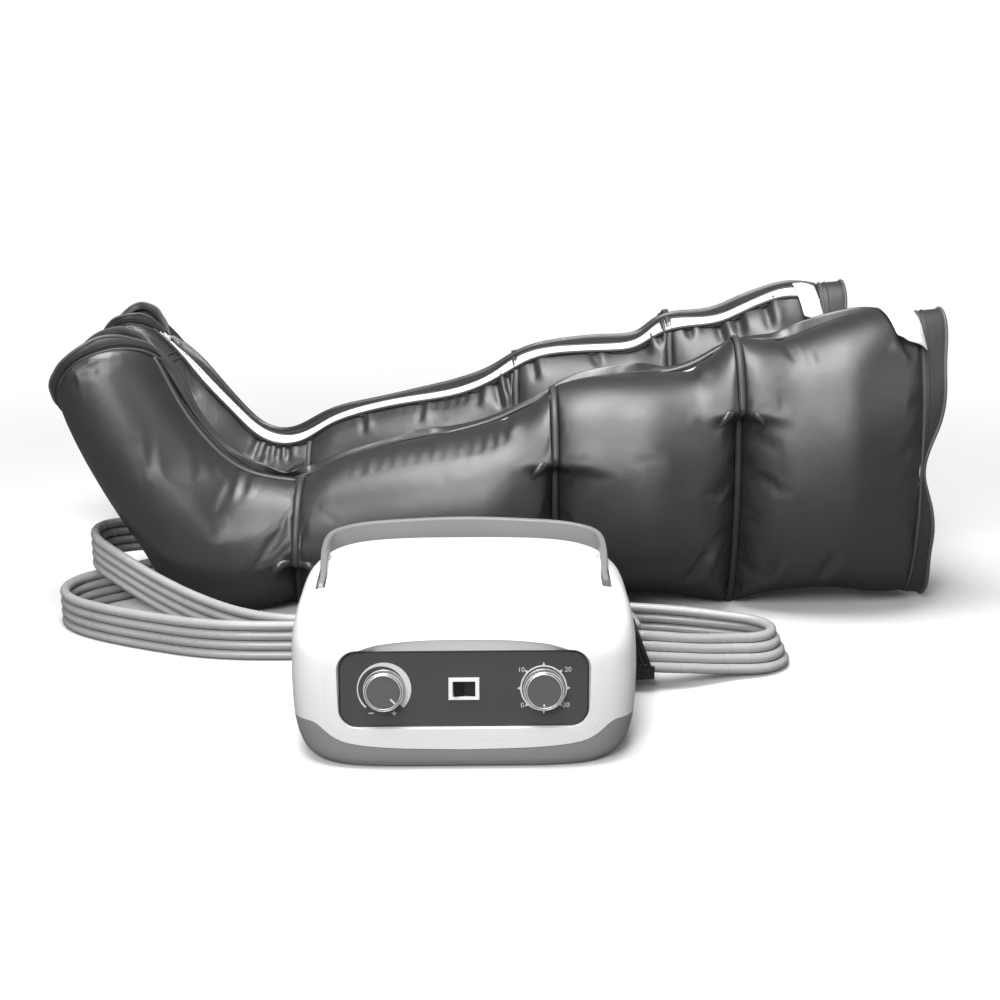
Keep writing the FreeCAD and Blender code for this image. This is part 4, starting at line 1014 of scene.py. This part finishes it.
# the tooth at which the slider stands, and its body, tongue and end: along, across and up from there
SLIDER_AT = 3
SLIDER = (((-5, -3.5, 0.4), (5, 3.5, 3.2)), ((1, -1.7, 3.4), (13, 1.7, 4.6)),
          ((10.5, -2.8, 3.3), (15.5, 2.8, 4.8)))


def zip_fastener(sleeve, grids, side, inner, outer_edge):
    """White tape with dark bound edges, a row of teeth, a slider and the cloth flap beside it."""
    lines = top_line(grids, inner, side), top_line(grids, outer_edge, side)
    count = min(map(len, lines))
    marks = np.linspace(0, 1, count)
    near, far = (smoothed(read_at(marks, np.linspace(0, 1, len(line)), line), 10) for line in lines)
    up = unit(np.cross(np.gradient(near, axis=0), far - near))
    up *= np.sign(up[:, 2:].mean())
    grid = np.stack([near + (far - near) * share + up * lift * MM for share, lift in TAPE], 1)
    faces = capped(count, len(TAPE))
    solid(f"{sleeve.name}_zip_strip", grid.reshape(-1, 3), faces, WEBBING, "zip_white",
          replaces=[f"{sleeve.name}_zip_tape"])
    edges = [tube(line + up * 2.0 * MM, 0.0018, 8) for line in (near, far)]
    solid(f"{sleeve.name}_zip_binding", *joined(edges), BINDING, "binding_dark")
    away = unit(near - far)
    wander = 1 + 0.25 * np.sin(np.arange(count) / 9.0)[:, None]
    grid = np.stack([near + (away * out + up * lift * wander) * MM for out, lift in FLAP], 1)
    subdivide(solid(f"{sleeve.name}_zip_flap", grid.reshape(-1, 3), faces, NYLON, "nylon_grey"))
    middle = resampled((near + far) / 2 + up * 3.3 * MM, 0.0026)
    direction = unit(np.gradient(middle, axis=0))
    lift = read_at(np.linspace(0, 1, len(middle)), marks, up)
    axes = np.stack([direction, np.cross(lift, direction), lift], 1)
    teeth = [box((-0.8, -2.0, -0.4), (0.8, 2.0, 0.5), place, own * MM) for place, own in zip(middle, axes)]
    solid(f"{sleeve.name}_zip_teeth", *joined(teeth), ZIP_TEETH, "zip_white", smooth=False)
    parts = [box(low, high, middle[SLIDER_AT], axes[SLIDER_AT] * MM) for low, high in SLIDER]
    made = solid(f"{sleeve.name}_zip_slider", *joined(parts), ZIP_METAL, "zip_metal", smooth=False,
                 replaces=[f"{sleeve.name}_zip_pull"])
    bevel = made.modifiers.new("bevel", "BEVEL")
    bevel.width, bevel.segments = 0.0004, 2


# radius of a row of stitches
STITCH = 0.0005


def welt(sleeve, index, before, after, height):
    """Welded seam ring between two chambers, its colour painted: lighter above the gather's height as painted
    light on the shallow seam, darker below it as painted shade in the deep seam valley.
    """
    ring = (before[0][-1] + after[0][0]) / 2
    outward = unit(ring - ring.mean(0))
    ring = ring + outward * 0.0016
    axis = unit(after[0].mean((0, 1)) - before[0].mean((0, 1)))
    points, faces = tube(ring, 0.0011, 10, closed=True, up=axis, flat=2.9)
    # faces below the gather's height take the dark binding as painted shade, those above the lighter colour as
    # painted light
    painted_shade_slots = [int(points[list(face), 2].mean() < height * sleeve.scale_z * MM) for face in faces]
    solid(f"{sleeve.name}_seam_{index}", points, faces, [SEAM_PAINTED_LIT, BINDING], "binding_dark",
          face_slots=painted_shade_slots)
    stitches = [tube(ring + outward * 0.0010 + axis * shift, STITCH, 6, closed=True, up=axis)
                for shift in (-0.0021, 0.0021)]
    solid(f"{sleeve.name}_stitches_{index}", *joined(stitches), THREAD, "binding_dark")
    return ring


# path of one drooping corner from the knot: along the sleeve, out, up
DROOP = ((-1, 0, 2), (4, 4, 4.5), (8, 7, 5), (12, 9, 3.5), (16, 10, -0.5), (19, 9.5, -7))


def knot(sleeve, index, ring, height):
    """Gather on the near flank: the corners of both chambers droop beside the seam."""
    flank = ring[AROUND // 8:3 * AROUND // 8]
    place = flank[np.argmin(np.abs(flank[:, 2] - height * sleeve.scale_z * MM))]
    folds = []
    deeper = 1.0 if index == 1 else 1.7
    for turn, size in ((-1, 1.15), (1, 1.05)):
        path = [place + np.array([turn * x, -y * deeper, z]) * size * MM for x, y, z in DROOP]
        path = smoothed(resampled(path, 0.0015), 2)
        radius = np.interp(np.linspace(0, 1, len(path)), [0, 0.25, 0.6, 1], [2.0, 3.4, 4.6, 1.2]) * MM
        folds.append(tube(path, radius, 14, up=(0, 1, 0.2), flat=0.8))
    subdivide(solid(f"{sleeve.name}_gather_{index}", *joined(folds), NYLON, "nylon_grey"))


def cuff(sleeve, name, ring, axis, lengths, wave, profile):
    """Bound collar round an end ring: profile holds shares of lengths and how far out, in millimetres."""
    outward = ring - ring.mean(0)
    outward = unit(outward - axis * (outward @ axis)[:, None])
    grid = np.array([ring + outward * (out + wave * max(share, 0.0))[:, None] * MM
                     + axis * (lengths * share)[:, None] * MM for share, out in profile])
    made = piece(f"{sleeve.name}_{name}_cuff", grid.reshape(-1, 3), grid_faces(len(grid), AROUND), BINDING,
                 "binding_dark", replaces=[f"{sleeve.name}_{name}_hem"])
    thicken(made, 0.0004)
    subdivide(made)
    edge = len(profile) // 2
    piping = [tube(grid[row], radius, sides, closed=True, up=axis)
              for row, radius, sides in ((edge, 0.0016, 10), (1, 0.0013, 8))]
    solid(f"{sleeve.name}_{name}_piping", *joined(piping), PIPING, "binding_dark")
    stitch = tube(grid[edge - 2] + outward * 0.0002, STITCH, 6, closed=True, up=axis)
    solid(f"{sleeve.name}_{name}_stitch", *stitch, THREAD, "binding_dark")


def tab(sleeve, thigh, x_top, x_low, width, start, length):
    """White webbing tab hanging over the near flank at the mouth."""
    rows = []
    for share in np.linspace(0, 1, 12):
        arc = start + (length - start) * share
        row = []
        for t in np.linspace(-0.5, 0.5, 7):
            x = x_top + (x_low - x_top) * share + width * t
            (point,), (out,) = skin_line(*thigh, x, [arc])
            row.append(point + out * (4.0 + 2.0 * share ** 2 + 0.5 * math.sin(5 * t + 4 * share)) * MM)
        rows.append(row)
    grid = np.array(rows)
    faces = grid_faces(*grid.shape[:2], round_columns=False)
    made = piece(f"{sleeve.name}_mouth_webbing", grid.reshape(-1, 3), faces, WEBBING, "zip_white",
                 replaces=[f"{sleeve.name}_mouth_tab"])
    thicken(made, 0.0014)
    subdivide(made)


def flank_line(grid, start, end):
    """Line on the near flank where a chamber's skin crosses the plane through start and end (x, z)."""
    outer, rings = grid
    start, end = np.array(start, float), np.array(end, float)
    run = unit(end - start)
    line = []
    for k in range(2, AROUND // 2 - 2):
        off = (rings[:, k, :2] - start) @ np.array([-run[1], run[0]])
        change = np.nonzero(off[:-1] * off[1:] <= 0)[0]
        if len(change):
            i = change[0]
            share = off[i] / (off[i] - off[i + 1])
            line.append((1 - share) * outer[i, k] + share * outer[i + 1, k])
    return np.array(line)


# profiles of the rolled toe end and of the mouth's collar
ROLL = ((-0.35, -1.5), (-0.05, 1.5), (0.25, 3.6), (0.6, 4.2), (0.9, 2.6), (1.0, 0.4), (0.85, -1.8),
        (0.3, -3.0))
CUFF = ((-0.15, -1.0), (0.08, 0.8), (0.3, 1.6), (0.6, 1.4), (0.97, 1.6), (1.0, 0.6), (0.9, -0.8), (0.5, -1.2),
        (0.0, -3.0))


def sleeve_pieces(sleeve, side, zip_from, zip_to):
    """All of one sleeve; side is the flank of its zip, -1 near."""
    chambers = (("foot", sleeve.foot, 66), ("calf", CALF, 78), ("knee", KNEE, 52), ("thigh", THIGH, 52))
    ends = (None,) + KNOT_HEIGHTS + (None,)
    grids = [chamber(sleeve, name, stations, count, ends[i:i + 2])
             for i, (name, stations, count) in enumerate(chambers)]
    for i in range(3):
        ring = welt(sleeve, i + 1, grids[i], grids[i + 1], KNOT_HEIGHTS[i])
        knot(sleeve, i + 1, ring, KNOT_HEIGHTS[i])
    zip_fastener(sleeve, grids, side, zip_from, zip_to)
    turn = np.linspace(0, 2 * math.pi, AROUND, endpoint=False)
    toe, mouth = grids[0][0][0], grids[-1][0][-1]
    (x0, z0), (x1, z1) = sleeve.foot[0][:2]
    axis = unit(np.array([z0 - z1, 0, x1 - x0]))
    lengths = 10 + 4 * np.exp(-((turn - 0.9) / 0.45) ** 2) + 0.8 * np.sin(3 * turn)
    cuff(sleeve, "toe", toe, axis, lengths, 0.8 * np.sin(5 * turn + 0.6) + 0.5 * np.sin(11 * turn), ROLL)
    axis = np.array([1.0, sleeve.y_slope, 0])
    pinch = np.exp(-((turn - 1.6) / 0.5) ** 2) + np.exp(-((turn - 4.6) / 0.6) ** 2)
    lengths = 24 - 16 * pinch - 6 * (1 - np.cos(turn)) / 2 + 1.5 * np.sin(7 * turn)
    cuff(sleeve, "mouth", mouth, axis, lengths, 2.0 - 6 * pinch + 1.4 * np.sin(9 * turn + 0.4), CUFF)
    if side > 0:
        line = top_line(grids[:1], 6.0, -1) + np.array([0, 0, 0.0008])
        solid("front_top_piping", *tube(line, 0.0017, 8), PIPING, "binding_dark")
        tab(sleeve, grids[-1], 390, 397, 30, 2, 46)
    else:
        lines = [tube(flank_line(grids[0], *ends), 0.0012, 8)
                 for ends in (sleeve.foot[0][:2], ((-390, 189), (-322, 201)))]
        solid("rear_toe_bands", *joined(lines), THREAD, "binding_dark")
        tab(sleeve, grids[-1], 388, 396, 22, -4, 58)


sleeve_pieces(FRONT, 1, 27.0, 40.0)
sleeve_pieces(REAR, -1, 14.5, 29.0)


# ---- print on the panel --------------------------------------------------------------------
def printed(name, text, x, up, size):
    """Flat raised print on the panel."""
    curve = bpy.data.curves.new(name, "FONT")
    curve.body, curve.size, curve.extrude = text, size * MM, 0.00004
    curve.align_x, curve.align_y = "CENTER", "CENTER"
    curve.resolution_u = 3
    points, faces = from_curve(curve)
    points = [on_panel(x + a, up + b, 0.05 + c) for a, b, c in points / MM]
    piece(name, points, faces, NUMERAL, "ring_print", smooth=False)


for text, x, up in (("10", -16.3, 13.6), ("20", 17.7, 13.6), ("0", -15.6, -12.9), ("30", 16.3, -12.9)):
    printed(f"print_{text}", text, KNOB_X + x, up, 5.2)
for name, x, up, wide, high in (("print_less", -67.6, -18, 3.6, 0.8), ("print_more_a", -51, -18, 3.6, 0.8),
                                ("print_more_b", -51, -18, 0.8, 3.6)):
    corners = [on_panel(x + a * wide / 2, up + b * high / 2, 0.09)
               for a, b in ((-1, -1), (1, -1), (1, 1), (-1, 1))]
    piece(name, corners, [(0, 1, 2, 3)], NUMERAL, "ring_print", smooth=False)

low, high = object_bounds()
